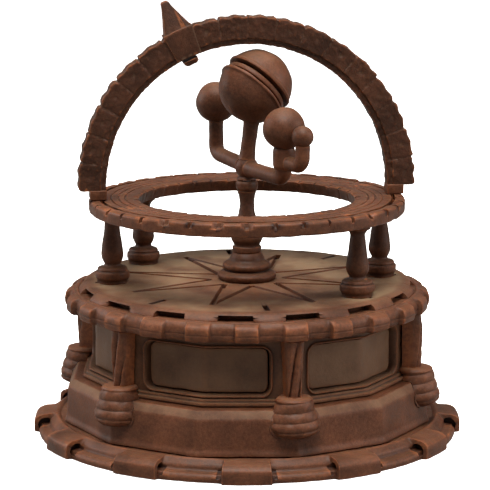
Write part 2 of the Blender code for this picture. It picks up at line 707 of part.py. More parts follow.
def build_moon(pivot):
    """Collar that turns on the near arm, with a bent arm up to the moon."""
    moon_arm = cylinder("moon_arm", COLLAR_RADIUS, COLLAR_BOTTOM, COLLAR_TOP, steps=20,
                        parent=pivot)
    route = elbow_route(3.2, MOON_REACH, MOON_ARM_HEIGHT, MOON_HEIGHT - MOON_RADIUS - GAP, 3.5)
    combine(moon_arm, tube("moon_branch", route, MOON_ARM_RADIUS, pivot), "UNION")
    bore = cylinder("moon_bore", ARM_TUBE_RADIUS + GAP, COLLAR_BOTTOM - 2, COLLAR_TOP + 2,
                    steps=20, parent=pivot)
    combine(moon_arm, bore, "DIFFERENCE")
    ball("moon", MOON_RADIUS, (MOON_REACH, 0.0, MOON_HEIGHT), pivot, steps=12)


def build_astrolabe():
    build_rim()
    build_cover()
    build_skirt()
    build_drum()
    build_panels()
    build_brackets()
    build_cornice()
    build_deck()
    build_balusters()
    build_horizon_ring()
    build_column()
    arch_pivot = add_pivot("arch_pivot", ARCH_CENTRE, ARCH_YAW)
    build_arch(arch_pivot)
    build_arch_feet(arch_pivot)
    pointer_pivot = add_pivot("pointer_pivot", 0.0, parent=arch_pivot)
    build_pointer(pointer_pivot)
    orrery_pivot = add_pivot("orrery_pivot", 0.0, ORRERY_YAW)
    build_orrery(orrery_pivot)
    moon_pivot = add_pivot("moon_pivot", 0.0, MOON_YAW, orrery_pivot, (NEAR_REACH, 0.0))
    build_moon(moon_pivot)
    for obj in PARTS.objects:
        if obj.type == "MESH":
            obj.data.shade_smooth()
            obj.data.set_sharp_from_angle(angle=math.radians(35))


build_astrolabe()
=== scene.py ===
"""Looks of the table-top astrolabe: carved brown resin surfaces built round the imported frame.

Shapes are worked out in millimetres and become metres as each mesh is made.  Angles round the
base are in degrees from the front (-Y) towards +X.
"""
import json
import math

import bmesh
import bpy
import numpy as np
from mathutils import Matrix, Vector, noise


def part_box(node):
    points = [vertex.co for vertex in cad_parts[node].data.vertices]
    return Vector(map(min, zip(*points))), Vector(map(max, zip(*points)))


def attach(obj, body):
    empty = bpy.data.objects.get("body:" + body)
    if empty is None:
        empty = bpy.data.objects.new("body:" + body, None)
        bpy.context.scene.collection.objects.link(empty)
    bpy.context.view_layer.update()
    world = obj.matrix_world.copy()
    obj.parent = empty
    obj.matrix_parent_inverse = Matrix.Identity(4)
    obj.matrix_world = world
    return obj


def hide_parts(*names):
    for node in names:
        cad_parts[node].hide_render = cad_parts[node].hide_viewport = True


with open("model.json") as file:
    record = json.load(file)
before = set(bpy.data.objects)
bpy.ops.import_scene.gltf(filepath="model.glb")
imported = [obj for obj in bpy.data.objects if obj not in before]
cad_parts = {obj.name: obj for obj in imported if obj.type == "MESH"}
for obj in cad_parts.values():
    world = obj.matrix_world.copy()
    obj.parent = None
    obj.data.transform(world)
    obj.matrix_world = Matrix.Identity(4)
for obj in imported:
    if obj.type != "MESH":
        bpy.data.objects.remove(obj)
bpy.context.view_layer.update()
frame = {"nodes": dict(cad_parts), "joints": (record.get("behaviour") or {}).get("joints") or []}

MM = 0.001
JOINTS = {joint["name"]: joint for joint in frame["joints"]}


def low(node):
    """Lowest corner of a CAD node's box, in millimetres."""
    return np.array(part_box(node)[0]) / MM


def high(node):
    return np.array(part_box(node)[1]) / MM


def middle(node):
    return (low(node) + high(node)) / 2


# ---------------------------------------------------------------- materials

class Nodes:
    """Small helper that adds and links the nodes of one material."""

    def __init__(self, material):
        material.use_nodes = True
        self.tree = material.node_tree
        self.shader = self.tree.nodes["Principled BSDF"]

    def add(self, kind, **settings):
        node = self.tree.nodes.new(kind)
        for name, value in settings.items():
            setattr(node, name, value)
        return node

    def link(self, output, target):
        self.tree.links.new(output, target)

    def noise(self, source, scale, detail=3.0, rough=0.55):
        node = self.add("ShaderNodeTexNoise")
        node.inputs["Scale"].default_value = scale
        node.inputs["Detail"].default_value = detail
        node.inputs["Roughness"].default_value = rough
        self.link(source, node.inputs["Vector"])
        return node.outputs["Fac"]

    def map_range(self, source, from_low, from_high, to_low=0.0, to_high=1.0):
        node = self.add("ShaderNodeMapRange")
        for name, value in zip(("From Min", "From Max", "To Min", "To Max"),
                               (from_low, from_high, to_low, to_high)):
            node.inputs[name].default_value = value
        self.link(source, node.inputs["Value"])
        return node.outputs["Result"]

    def math(self, operation, first, second):
        node = self.add("ShaderNodeMath", operation=operation)
        for socket, value in zip(node.inputs, (first, second)):
            if isinstance(value, (int, float)):
                socket.default_value = value
            else:
                self.link(value, socket)
        return node.outputs["Value"]

    def mix(self, factor, first, second, blend="MIX"):
        node = self.add("ShaderNodeMix", data_type="RGBA", blend_type=blend)
        for name, value in (("Factor", factor), ("A", first), ("B", second)):
            socket = [s for s in node.inputs if s.name == name and s.enabled][0]
            if isinstance(value, (int, float, tuple)):
                socket.default_value = value
            else:
                self.link(value, socket)
        return [s for s in node.outputs if s.enabled][0]

    def ramp(self, source, stops):
        node = self.add("ShaderNodeValToRGB")
        elements = node.color_ramp.elements
        while len(elements) < len(stops):
            elements.new(0.5)
        for element, (position, color) in zip(elements, stops):
            element.position = position
            element.color = (*color, 1.0)
        self.link(source, node.inputs["Fac"])
        return node.outputs["Color"]


def shade(color, factor):
    return tuple(min(1.0, channel * factor) for channel in color)


RESIN = (0.088, 0.0318, 0.0153)
WORN = (0.290, 0.090, 0.030)
# Dust colour; on upward faces it also serves as painted top light.
DUST_AND_TOP_LIGHT = (0.190, 0.118, 0.068)
# Colour of the painted shade in hollows and concave corners.
HOLLOW_SHADE = (0.012, 0.004, 0.003)


def distance_from(nodes, place, x, y):
    """Distance in metres from an upright line."""
    reach = nodes.add("ShaderNodeVectorMath", operation="SUBTRACT")
    reach.inputs[1].default_value = (x, y, 0.0)
    nodes.link(place, reach.inputs[0])
    flat = nodes.add("ShaderNodeVectorMath", operation="MULTIPLY")
    flat.inputs[1].default_value = (1.0, 1.0, 0.0)
    nodes.link(reach.outputs["Vector"], flat.inputs[0])
    length = nodes.add("ShaderNodeVectorMath", operation="LENGTH")
    nodes.link(flat.outputs["Vector"], length.inputs[0])
    return length.outputs["Value"]


def deck_dust_and_light(nodes, place):
    """Share of dust and painted light on top: thin in front of the column as painted shadow, thick
    behind it as painted light, and thin at the edge.
    """
    front = distance_from(nodes, place, 0.0, -0.020)
    # Painted shadow in front of the column, painted light behind it.
    front_shade_back_light = nodes.map_range(front, 0.010, 0.062, 0.3, 1.5)
    middle = distance_from(nodes, place, 0.0, 0.0)
    edge = nodes.map_range(middle, 0.0525, 0.0550, 1.0, 0.2)
    blotches = nodes.map_range(nodes.noise(place, 34.0, 4.0, 0.6), 0.4, 0.6, 0.45, 1.0)
    return nodes.math("MULTIPLY", nodes.math("MULTIPLY", front_shade_back_light, edge), blotches)


def make_resin(name, tone=1.0, wear=1.0, top_dust_and_light=0.25, hollow_shade_color=HOLLOW_SHADE, depth=0.00025, film=0.0,
               deck=False, slope_dust_and_highlight=False):
    """Cast resin: mottled brown, orange on worn edges, painted shade in hollows, dust and painted
    top light on upward faces.

    film is an even haze of dust; deck and the slope flag choose where the dust and painted top
    light lie.
    """
    material = bpy.data.materials.new(name)
    nodes = Nodes(material)
    place = nodes.add("ShaderNodeTexCoord").outputs["Object"]
    geometry = nodes.add("ShaderNodeNewGeometry")
    clouds = nodes.noise(place, 70.0, 3.0)
    grain = nodes.noise(place, 900.0, 4.0, 0.65)
    specks = nodes.noise(place, 2600.0, 2.0, 0.6)
    fine = nodes.math("ADD", nodes.math("MULTIPLY", grain, 0.6),
                      nodes.math("MULTIPLY", specks, 0.4))
    mottle = nodes.math("ADD", nodes.math("MULTIPLY", clouds, 0.45),
                        nodes.math("MULTIPLY", fine, 0.55))
    base = shade(RESIN, tone)
    color = nodes.ramp(mottle, ((0.36, shade(base, 0.5)), (0.5, base), (0.64, shade(base, 1.6))))
    facing_up = nodes.add("ShaderNodeSeparateXYZ")
    nodes.link(geometry.outputs["Normal"], facing_up.inputs["Vector"])
    # Upward faces take dust and painted top light.
    if slope_dust_and_highlight:
        # With the slope flag only rising slopes take it, as dust and a painted highlight.
        rising = nodes.map_range(facing_up.outputs["Z"], 0.4, 0.6, 0.0, top_dust_and_light)
        flat = nodes.map_range(facing_up.outputs["Z"], 0.75, 0.95, 1.0, 0.0)
        top = nodes.math("MULTIPLY", rising, flat)
    else:
        top = nodes.map_range(facing_up.outputs["Z"], 0.55, 1.0, 0.0, top_dust_and_light)
    patchy = nodes.map_range(clouds, 0.35, 0.65, 0.3, 1.0)
    # On the deck: painted shadow in front of the column, painted light behind it.
    if deck:
        top = nodes.math("MULTIPLY", top, deck_dust_and_light(nodes, place))
    if film:
        haze = nodes.map_range(clouds, 0.35, 0.65, 0.6 * film, film)
        color = nodes.mix(haze, color, (*shade(DUST_AND_TOP_LIGHT, 0.8), 1.0))
    color = nodes.mix(nodes.math("MULTIPLY", top, patchy), color, (*DUST_AND_TOP_LIGHT, 1.0))
    sharp = nodes.map_range(geometry.outputs["Pointiness"], 0.51, 0.58, 0.0, 0.6 * wear)
    rubbed = nodes.map_range(grain, 0.35, 0.6, 0.35, 1.0)
    color = nodes.mix(nodes.math("MULTIPLY", sharp, rubbed), color, (*WORN, 1.0))
    # Painted shade: concave places darkened towards the hollow shade colour.
    hollow = nodes.map_range(geometry.outputs["Pointiness"], 0.49, 0.43, 0.0, 0.8)
    color = nodes.mix(hollow, color, (*hollow_shade_color, 1.0))
    nodes.link(color, nodes.shader.inputs["Base Color"])
    roughness = nodes.map_range(nodes.math("ADD", grain, top), 0.35, 0.95, 0.42, 0.66)
    nodes.link(roughness, nodes.shader.inputs["Roughness"])
    nodes.shader.inputs["Specular IOR Level"].default_value = 0.18
    nodes.shader.inputs["Subsurface Weight"].default_value = 0.15
    nodes.shader.inputs["Subsurface Radius"].default_value = (1.0, 0.28, 0.12)
    nodes.shader.inputs["Subsurface Scale"].default_value = 0.0018
    bump = nodes.add("ShaderNodeBump")
    bump.inputs["Strength"].default_value = 0.55
    bump.inputs["Distance"].default_value = depth
    nodes.link(fine, bump.inputs["Height"])
    nodes.link(bump.outputs["Normal"], nodes.shader.inputs["Normal"])
    return material


def make_metal(name, color, tarnish, roughness):
    """Turned metal with faint ring marks and patches of tarnish."""
    material = bpy.data.materials.new(name)
    nodes = Nodes(material)
    place = nodes.add("ShaderNodeTexCoord").outputs["Object"]
    pointiness = nodes.add("ShaderNodeNewGeometry").outputs["Pointiness"]
    patches = nodes.noise(place, 260.0, 4.0)
    stretch = nodes.add("ShaderNodeMapping")
    stretch.inputs["Scale"].default_value = (60.0, 60.0, 4200.0)
    nodes.link(place, stretch.inputs["Vector"])
    rings = nodes.noise(stretch.outputs["Vector"], 1.0, 2.0)
    shown = nodes.ramp(patches, ((0.38, tarnish), (0.6, color)))
    edge = nodes.map_range(pointiness, 0.51, 0.58, 0.0, 0.7)
    nodes.link(nodes.mix(edge, shown, (*shade(color, 1.3), 1.0)),
               nodes.shader.inputs["Base Color"])
    nodes.link(nodes.map_range(patches, 0.3, 0.7, roughness + 0.2, roughness),
               nodes.shader.inputs["Roughness"])
    nodes.shader.inputs["Metallic"].default_value = 1.0
    bump = nodes.add("ShaderNodeBump")
    bump.inputs["Strength"].default_value = 0.25
    bump.inputs["Distance"].default_value = 0.00008
    nodes.link(rings, bump.inputs["Height"])
    nodes.link(bump.outputs["Normal"], nodes.shader.inputs["Normal"])
    return material


MATERIALS = {
    "resin": make_resin("resin_look"),
    "resin_edge": make_resin("resin_edge_look", tone=0.86, wear=1.05, top_dust_and_light=0.08),
    # Deck: dust, with a painted shadow in front of the column and painted light behind it.
    "resin_deck": make_resin("resin_deck_look", tone=0.95, wear=0.15, top_dust_and_light=1.3, deck=True),
    "resin_turned": make_resin("resin_turned_look", tone=0.62, wear=1.0, top_dust_and_light=0.12),
    # Skirt: dust and a painted highlight on its upward slopes only.
    "resin_skirt": make_resin("resin_skirt_look", wear=0.5, top_dust_and_light=0.5, slope_dust_and_highlight=True),
    "resin_panel": make_resin("resin_panel_look", tone=1.0, wear=0.5, top_dust_and_light=0.3, film=0.6),
    "resin_wall": make_resin("resin_wall_look", tone=0.85, wear=0.8, top_dust_and_light=0.3, film=0.25),
    # Arch and pointer: tone 0.5 is painted shade, because their faces stand far back from the
    # lamps.
    "resin_arch": make_resin("resin_arch_look", tone=0.5, wear=1.1, top_dust_and_light=0.15,
                             hollow_shade_color=(0.110, 0.060, 0.036), depth=0.0005),
    "resin_ball": make_resin("resin_ball_look", tone=0.95, wear=0.7, top_dust_and_light=0.28),
    "resin_dark": make_resin("resin_dark_look", tone=1.25, wear=0.6, top_dust_and_light=0.3),
    "brass": make_metal("brass_look", (0.62, 0.42, 0.16), (0.3, 0.17, 0.06), 0.3),
    "steel": make_metal("steel_look", (0.5, 0.5, 0.52), (0.3, 0.29, 0.28), 0.3),
}


# ---------------------------------------------------------------- mesh tools

def rounded(corners, steps=3, closed=True):
    """Outline with each (x, y, fillet) corner rounded, always the same number of points."""
    places = np.array([corner[:2] for corner in corners], float)
    count = len(corners)
    outline = []
    for i, (_, _, fillet) in enumerate(corners):
        here = places[i]
        if not closed and i in (0, count - 1):
            outline.append(here)
            continue
        back = places[i - 1] - here
        ahead = places[(i + 1) % count] - here
        back_length = max(np.linalg.norm(back), 1e-9)
        ahead_length = max(np.linalg.norm(ahead), 1e-9)
        reach = min(max(fillet, 0.02), 0.48 * back_length, 0.48 * ahead_length)
        start = here + back / back_length * reach
        end = here + ahead / ahead_length * reach
        for t in np.linspace(0.0, 1.0, steps):
            outline.append((1 - t) ** 2 * start + 2 * t * (1 - t) * here + t * t * end)
    return np.array(outline)


def densify(outline, longest, closed=True):
    """Outline with extra points on its long sides."""
    points = []
    count = len(outline)
    for i in range(count if closed else count - 1):
        start = outline[i]
        end = outline[(i + 1) % count]
        parts = max(1, math.ceil(np.linalg.norm(end - start) / longest))
        points += [start + (end - start) * k / parts for k in range(parts)]
    if not closed:
        points.append(outline[-1])
    return np.array(points)


def make_mesh(name, points, faces, merge=1e-4):
    """Mesh from points in millimetres, with doubles merged and its faces turned outwards."""
    mesh = bpy.data.meshes.new(name)
    mesh.from_pydata((np.asarray(points) * MM).tolist(), [], faces)
    bm = bmesh.new()
    bm.from_mesh(mesh)
    bmesh.ops.remove_doubles(bm, verts=bm.verts, dist=merge * MM)
    bmesh.ops.dissolve_degenerate(bm, edges=bm.edges, dist=merge * MM)
    bmesh.ops.recalc_face_normals(bm, faces=bm.faces)
    bm.to_mesh(mesh)
    bm.free()
    return mesh


def strip_faces(count, size, loop=False, closed=True):
    """Faces between neighbouring rows of points; loop joins the last row to the first."""
    faces = []
    for i in range(count if loop else count - 1):
        for j in range(size if closed else size - 1):
            k = (j + 1) % size
            n = (i + 1) % count
            faces.append((i * size + j, i * size + k, n * size + k, n * size + j))
    return faces


def grid_mesh(name, rows):
    """Endless surface through rows of points; each row is a closed outline."""
    rows = np.asarray(rows)
    return make_mesh(name, rows.reshape(-1, 3), strip_faces(*rows.shape[:2], loop=True))


def solid_mesh(name, rows):
    """Solid through rows of points, with a cap on its first row and on its last."""
    rows = np.asarray(rows)
    count, size = rows.shape[:2]
    faces = strip_faces(count, size)
    faces.append(tuple(range(size)))
    faces.append(tuple((count - 1) * size + j for j in range(size)))
    return make_mesh(name, rows.reshape(-1, 3), faces)


def ring_mesh(name, stations):
    """Ring about the base's axis; each station is an angle and a (radius, height) outline."""
    rows = []
    for angle, outline in stations:
        turn = math.radians(angle)
        rows.append(np.column_stack((outline[:, 0] * math.sin(turn),
                                     -outline[:, 0] * math.cos(turn), outline[:, 1])))
    return grid_mesh(name, rows)


def turned_mesh(name, corners, centre=(0.0, 0.0, 0.0), steps=48, fillets=4, longest=2.0,
                closed=False, tilt=None):
    """Solid turned about an upright axis; an open outline starts and ends on the axis."""
    outline = densify(rounded(corners, fillets, closed), longest, closed)
    rows = []
    for i in range(steps):
        turn = 2 * math.pi * i / steps
        rows.append(np.column_stack((outline[:, 0] * math.cos(turn),
                                     outline[:, 0] * math.sin(turn), outline[:, 1])))
    rows = np.array(rows)
    if tilt is not None:
        rows = rows @ np.array(tilt.to_3x3()).T
    rows = rows + np.asarray(centre)
    faces = strip_faces(*rows.shape[:2], loop=True, closed=closed)
    return make_mesh(name, rows.reshape(-1, 3), faces)


def combine_meshes(name, first, second, operation):
    """Exact Boolean of two closed meshes, as one new mesh."""
    objects = [bpy.data.objects.new(mesh.name, mesh) for mesh in (first, second)]
    for obj in objects:
        bpy.context.scene.collection.objects.link(obj)
    modifier = objects[0].modifiers.new(operation.title(), "BOOLEAN")
    modifier.operation = operation
    modifier.solver = "EXACT"
    modifier.use_self = operation == "DIFFERENCE"
    modifier.object = objects[1]
    bpy.context.view_layer.update()
    combined = objects[0].evaluated_get(bpy.context.evaluated_depsgraph_get())
    mesh = bpy.data.meshes.new_from_object(combined)
    mesh.name = name
    for obj in objects:
        bpy.data.objects.remove(obj)
    return mesh


def roughen(mesh, depth, grain, seed=0.0, floor=None):
    """Press the surface in by up to depth with smooth noise whose lumps are grain wide."""
    normals = [vertex.normal.copy() for vertex in mesh.vertices]
    shift = Vector((seed * 7.3, seed * 3.1, seed * 5.7))
    for vertex, normal in zip(mesh.vertices, normals):
        lump = noise.noise(vertex.co / (grain * MM) + shift)
        vertex.co += normal * (depth * MM * (lump - 0.6) * 0.62)
        if floor is not None and vertex.co.z < floor * MM:
            vertex.co.z = floor * MM
    mesh.update()
    return mesh


def piece(mesh, body, nodes, slot="resin", look=None, sharp=38.0):
    """Put a mesh in the scene as a piece that rides on a body and stands for CAD nodes."""
    mesh.materials.append(MATERIALS[look or slot])
    mesh.shade_smooth()
    mesh.set_sharp_from_angle(angle=math.radians(sharp))
    obj = bpy.data.objects.new(mesh.name, mesh)
    bpy.context.scene.collection.objects.link(obj)
    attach(obj, body)
    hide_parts(*nodes)
    return obj


def around(radius, angle, *height):
    """Point at a radius and an angle round the base, with its height when one is given."""
    turn = math.radians(angle)
    return (radius * math.sin(turn), -radius * math.cos(turn), *height)


def smoothstep(value):
    value = min(1.0, max(0.0, value))
    return value * value * (3 - 2 * value)


def pitch_angles(half_width, pitch, flank, longest):
    """Angles across one pitch, from -pitch/2 up to its end, close together at the flanks."""
    steps = [half_width + flank * k for k in (-1.3, -0.8, -0.35, 0.0, 0.35, 0.8, 1.3)]
    inside = np.linspace(0.0, steps[0], max(2, math.ceil(steps[0] / longest) + 1))[:-1]
    outside = np.linspace(steps[-1], pitch / 2, max(2, math.ceil((pitch / 2 - steps[-1])
                                                                 / longest) + 1))[1:]
    positive = [*inside, *steps, *outside]
    return [-angle for angle in positive[:0:-1]] + positive[:-1]


def toothed_ring(name, teeth, first, half_width, tooth, gap, flank=0.45, longest=2.0,
                 vary=0.2, seed=1):
    """Ring whose outline changes from a gap's to a tooth's at each flank."""
    random = np.random.default_rng(seed)
    pitch = 360 / teeth
    stations = []
    for i in range(teeth):
        lift = random.uniform(-vary, 0.0)
        skew = random.uniform(-0.25, 0.25)
        for offset in pitch_angles(half_width, pitch, flank, longest):
            share = smoothstep((half_width + skew - abs(offset)) / (2.2 * flank) + 0.5)
            outline = gap + (tooth - gap) * share
            outline[:, 0] += lift * share * (outline[:, 0] > outline[:, 0].max() - 3.0)
            stations.append((first + pitch * i + offset, outline))
    return ring_mesh(name, stations)


# ---------------------------------------------------------------- base

SIDES = 12
CORNER_STEP = 360 / SIDES
RIM_TEETH = 12
RIM_TOOTH_HALF = 6.25
TOOTH_RADIUS = high("base_rim")[0] / math.cos(math.radians(CORNER_STEP / 2 - RIM_TOOTH_HALF))
SKIRT_FOOT = low("skirt")[2]
SKIRT_TOP = high("skirt")[2]
SKIRT_FOOT_RADIUS = high("skirt")[0]
DRUM_BOTTOM = low("drum_wall")[2]
DRUM_TOP = high("drum_wall")[2]
MOULDING_RADIUS = high("drum_wall")[0]
DRUM_RADIUS = MOULDING_RADIUS - 2.6
DRUM_INNER_RADIUS = 46.0
MM_PER_DEGREE = DRUM_RADIUS * math.pi / 180


def polygon_radius(corner_radius, angle, soft=0.5):
    """Distance to the side of the twelve-sided outline at an angle, its corners softened."""
    from_corner = (angle + CORNER_STEP / 2) % CORNER_STEP - CORNER_STEP / 2
    from_middle = CORNER_STEP / 2 - math.hypot(from_corner, soft)
    apothem = corner_radius * math.cos(math.radians(CORNER_STEP / 2))
    return apothem / math.cos(math.radians(from_middle))


def build_rim():
    """Toothed foot: a rounded inner ring, a groove, and teeth that curl down over the groove."""
    foot = low("base_rim")[2]
    tooth = TOOTH_RADIUS
    common = [(65.6, 6.25, .3), (65.3, 6.0, .2), (60.0, 6.0, .2), (60.0, 3.0, .1),
              (63.0, 3.0, .1), (63.0, 0.0, .2)]
    tooth_corners = [(tooth, 0.0, .5), (tooth, 2.4, .1), (tooth - 0.1, 4.9, 2.2),
                     (72.3, 6.15, 1.4), (70.2, 6.3, .6), (68.6, 6.5, .6), (66.6, 6.85, .8)] + common
    gap_corners = [(tooth - 1.7, 0.0, .5), (tooth - 1.7, 1.9, 1.0), (72.2, 2.95, .6),
                   (70.6, 3.0, .5), (69.5, 3.3, .5), (69.2, 4.7, .8), (66.8, 6.95, 1.4)] + common
    mesh = toothed_ring("base_rim_solid", RIM_TEETH, CORNER_STEP / 2, RIM_TOOTH_HALF,
                        *matched_outlines(tooth_corners, gap_corners), flank=0.3, longest=1.2)
    mesh = combine_meshes("base_rim_look", mesh, curl_pockets(), "DIFFERENCE")
    roughen(mesh, 0.22, 3.2, 1.0, foot)
    piece(mesh, "base", ["base_rim"], look="resin_edge")


def curl_pockets():
    """Cutters for the hollow under the curl of each tooth, one on either flank."""
    section = rounded([(69.3, 3.1, .3), (69.4, 4.9, .5), (71.4, 5.1, .8), (72.9, 4.3, .9),
                       (73.6, 2.8, .6), (73.3, 1.3, .3), (72.7, 1.4, .3), (72.2, 2.7, .4),
                       (70.8, 2.8, .3)], 4)
    points = []
    faces = []
    size = len(section)
    for i in range(RIM_TEETH):
        for side in (-1, 1):
            start = len(points)
            flank = CORNER_STEP * (i + 0.5) + side * RIM_TOOTH_HALF
            for offset in (1.6, -0.7, -1.6):
                points += [around(radius, flank + side * offset, height)
                           for radius, height in section]
            faces += [tuple(start + k for k in face) for face in strip_faces(3, size)]
            faces += [tuple(range(start, start + size)),
                      tuple(range(start + 2 * size, start + 3 * size))]
    return make_mesh("curl_pockets", points, faces)


def matched_outlines(first, second, longest=0.9):
    """Two matching corner lists as rounded outlines, with the same extra points on both."""
    outlines = [rounded(first), rounded(second)]
    matched = [[], []]
    count = len(outlines[0])
    for i in range(count):
        n = (i + 1) % count
        length = max(np.linalg.norm(outline[n] - outline[i]) for outline in outlines)
        parts = max(1, math.ceil(length / longest))
        for points, outline in zip(matched, outlines):
            start, end = outline[i], outline[n]
            points += [start + (end - start) * k / parts for k in range(parts)]
    return [np.array(points) for points in matched]


def build_cover():
    centre_hole = 1.8
    top = high("base_cover")[2]
    radius = high("base_cover")[0]
    mesh = turned_mesh("base_cover_look", [
        (centre_hole, top, .2), (8.0, top, .5), (9.0, 2.7, .6), (radius, 2.7, .4),
        (radius, 0.4, .4), (4.8, 0.4, .3), (4.8, 3.9, .2), (centre_hole, 3.9, .1)],
        steps=96, longest=4.0, closed=True)
    piece(mesh, "base", ["base_cover"], "resin_dark")


def corner_offsets(longest=4.0):
    near = [0.0, 0.35, 0.8, 1.5, 3.0]
    far = list(np.linspace(3.0, CORNER_STEP / 2, math.ceil(12.0 / longest) + 1))[1:]
    positive = near + far
    return [-angle for angle in positive[:0:-1]] + positive[:-1]


def build_skirt():
    corners = [
        (60.0, SKIRT_FOOT, .1), (SKIRT_FOOT_RADIUS, SKIRT_FOOT, .3),
        (SKIRT_FOOT_RADIUS - 0.2, 7.3, .4), (64.6, 8.6, 1.5), (64.1, 18.4, .8),
        (61.9, SKIRT_TOP - 0.1, .6), (53.0, SKIRT_TOP, .2), (53.0, 18.5, .1), (60.0, 18.5, .2)]
    outline = densify(rounded(corners, 4), 1.5)
    stations = []
    for i in range(SIDES):
        for offset in corner_offsets(2.0):
            angle = CORNER_STEP * i + offset
            fitted = outline.copy()
            fitted[:, 0] *= polygon_radius(1.0, angle)
            stations.append((angle, fitted))
    mesh = ring_mesh("skirt_look", stations)
    roughen(mesh, 0.28, 4.5, 2.0)
    piece(mesh, "base", ["skirt"], look="resin_skirt")


class PanelOutline:
    """Rounded rectangle on the drum's wall and its offsets, for one 60 degree sector."""

    half_width = 22.5
    half_height = 7.9
    corner = 3.0
    height = 33.0

    def __init__(self):
        inner_s = self.half_width - self.corner
        inner_z = self.half_height - self.corner
        quarter = np.linspace(0.0, 90.0, 7)
        top = [((s, inner_z), 90.0) for s in np.linspace(-inner_s, inner_s, 21)]
        corner = [((inner_s, inner_z), 90.0 - turn) for turn in quarter[1:-1]]
        side = [((inner_s, z), 0.0) for z in np.linspace(inner_z, -inner_z, 7)]
        half = top + corner + side
        opposite = [((-s, -z), turn + 180.0) for (s, z), turn in half]
        low_corner = [((inner_s, -inner_z), -turn) for turn in quarter[1:-1]]
        high_corner = [((-s, -z), turn + 180.0) for (s, z), turn in low_corner]
        self.anchors = half + low_corner + opposite + high_corner
        self.inner = (inner_s, inner_z)

    def offset(self, distance):
        """(s, z) points of the outline grown by a distance, measured from the panel's middle."""
        reach = self.corner + distance
        points = []
        for (s, z), turn in self.anchors:
            direction = math.radians(turn)
            points.append((s + reach * math.cos(direction), z + reach * math.sin(direction)))
        return points

    def boundary(self, top, bottom):
        """The same points moved out to the sector's rectangular edge."""
        edge = PANEL_STEP / 2 * MM_PER_DEGREE
        points = []
        for (s, z), turn in self.anchors:
            direction = math.radians(turn)
            across, up = math.cos(direction), math.sin(direction)
            limit = top if up > 0 else bottom
            if abs(across) < 1e-6:
                points.append((s, limit))
            elif abs(up) < 1e-6:
                points.append((math.copysign(edge, across), z))
            elif abs(up) >= abs(across) - 1e-6:
                share = abs(across) / abs(up)
                points.append((s + (math.copysign(edge, across) - s) * share, limit))
            else:
                share = abs(up) / abs(across)
                points.append((math.copysign(edge, across), z + (limit - z) * share))
        return points

    def filled(self, distance, levels=7):
        """Outlines that shrink from one offset down to the line along the panel's middle."""
        start = self.offset(distance)
        flat = self.inner[0] - 4.0
        rings = []
        for share in np.linspace(0.0, 1.0, levels + 1)[1:]:
            ring = []
            for s, z in start:
                target = min(flat, max(-flat, s))
                ring.append((s + (target - s) * share, z * (1 - share)))
            rings.append(ring)
        return rings


PANELS = 6
PANEL_STEP = 360 / PANELS


def on_wall(sector, s, z, out):
    """Point of the drum's wall: s along it from the sector's middle, pushed out."""
    offset = s / MM_PER_DEGREE
    radius = polygon_radius(DRUM_RADIUS, offset, 0.35) + out
    return around(radius, PANEL_STEP * sector + offset, z)


def build_drum():
    """Drum wall with six framed pockets, a stepped moulding at its foot and a hollow inside."""
    panel = PanelOutline()
    pocket = -5.7
    sill = 23.9
    contours = [(ring, pocket) for ring in panel.filled(0.0)[::-1]]
    contours += [(panel.offset(0.0), pocket), (panel.offset(0.0), -0.9),
                 (panel.offset(0.0), -0.4), (panel.offset(0.12), 0.0),
                 (panel.offset(0.25), 0.45), (panel.offset(0.45), 0.72),
                 (panel.offset(0.7), 0.72), (panel.offset(0.95), 0.45),
                 (panel.offset(1.1), 0.08)]
    outer = panel.boundary(DRUM_TOP - panel.height, sill - panel.height)
    near = panel.offset(1.1)
    for share in (0.15, 0.5, 1.0):
        contours.append(([(a + (c - a) * share, b + (d - b) * share)
                          for (a, b), (c, d) in zip(near, outer)], 0.0))
    size = len(near)
    along = sorted({round(s, 6) for s, z in outer if abs(z - (sill - panel.height)) < 1e-6})
    step = MOULDING_RADIUS - DRUM_RADIUS
    moulding = rounded([
        (0.0, sill, 0), (step - 1.2, sill - 0.15, .35), (step - 1.2, 22.95, .3),
        (step, 22.8, .35), (step, DRUM_BOTTOM, .1), (DRUM_INNER_RADIUS - DRUM_RADIUS,
                                                     DRUM_BOTTOM, .1),
        (DRUM_INNER_RADIUS - DRUM_RADIUS, DRUM_TOP, .1), (0.0, DRUM_TOP, 0)], 3, False)
    points = []
    faces = []
    for sector in range(PANELS):
        start = len(points)
        for contour, out in contours:
            points += [on_wall(sector, s, panel.height + z, out) for s, z in contour]
        faces += [tuple(start + i for i in face) for face in strip_faces(len(contours), size)]
        start = len(points)
        for s in along:
            points += [on_wall(sector, s, z, out) for out, z in moulding]
        strip = strip_faces(len(along), len(moulding), closed=False)
        faces += [tuple(start + i for i in face) for face in strip]
    mesh = make_mesh("drum_wall_look", points, faces, merge=2e-3)
    roughen(mesh, 0.15, 3.5, 3.0)
    piece(mesh, "base", ["drum_wall"], look="resin_wall")
    for sector in range(PANELS):
        build_panel(sector, panel)


def build_panel(sector, panel):
    gap = -0.3
    face = -1.7
    rings = [(ring, -5.2) for ring in panel.filled(gap)[::-1]]
    rings += [(panel.offset(gap), -5.2), (panel.offset(gap), face - 0.55),
              (panel.offset(gap - 0.15), face - 0.15), (panel.offset(gap - 0.5), face)]
    rings += [(ring, face) for ring in panel.filled(gap - 0.5)]
    points = []
    for ring, out in rings:
        points += [on_wall(sector, s, panel.height + z, out) for s, z in ring]
    faces = strip_faces(len(rings), len(rings[0][0]))
    name = f"drum_panel_{sector + 1}"
    mesh = make_mesh(name + "_look", points, faces, merge=2e-3)
    roughen(mesh, 0.3, 5.0, 10.0 + sector)
    piece(mesh, "base", [name], "resin_dark", "resin_panel")


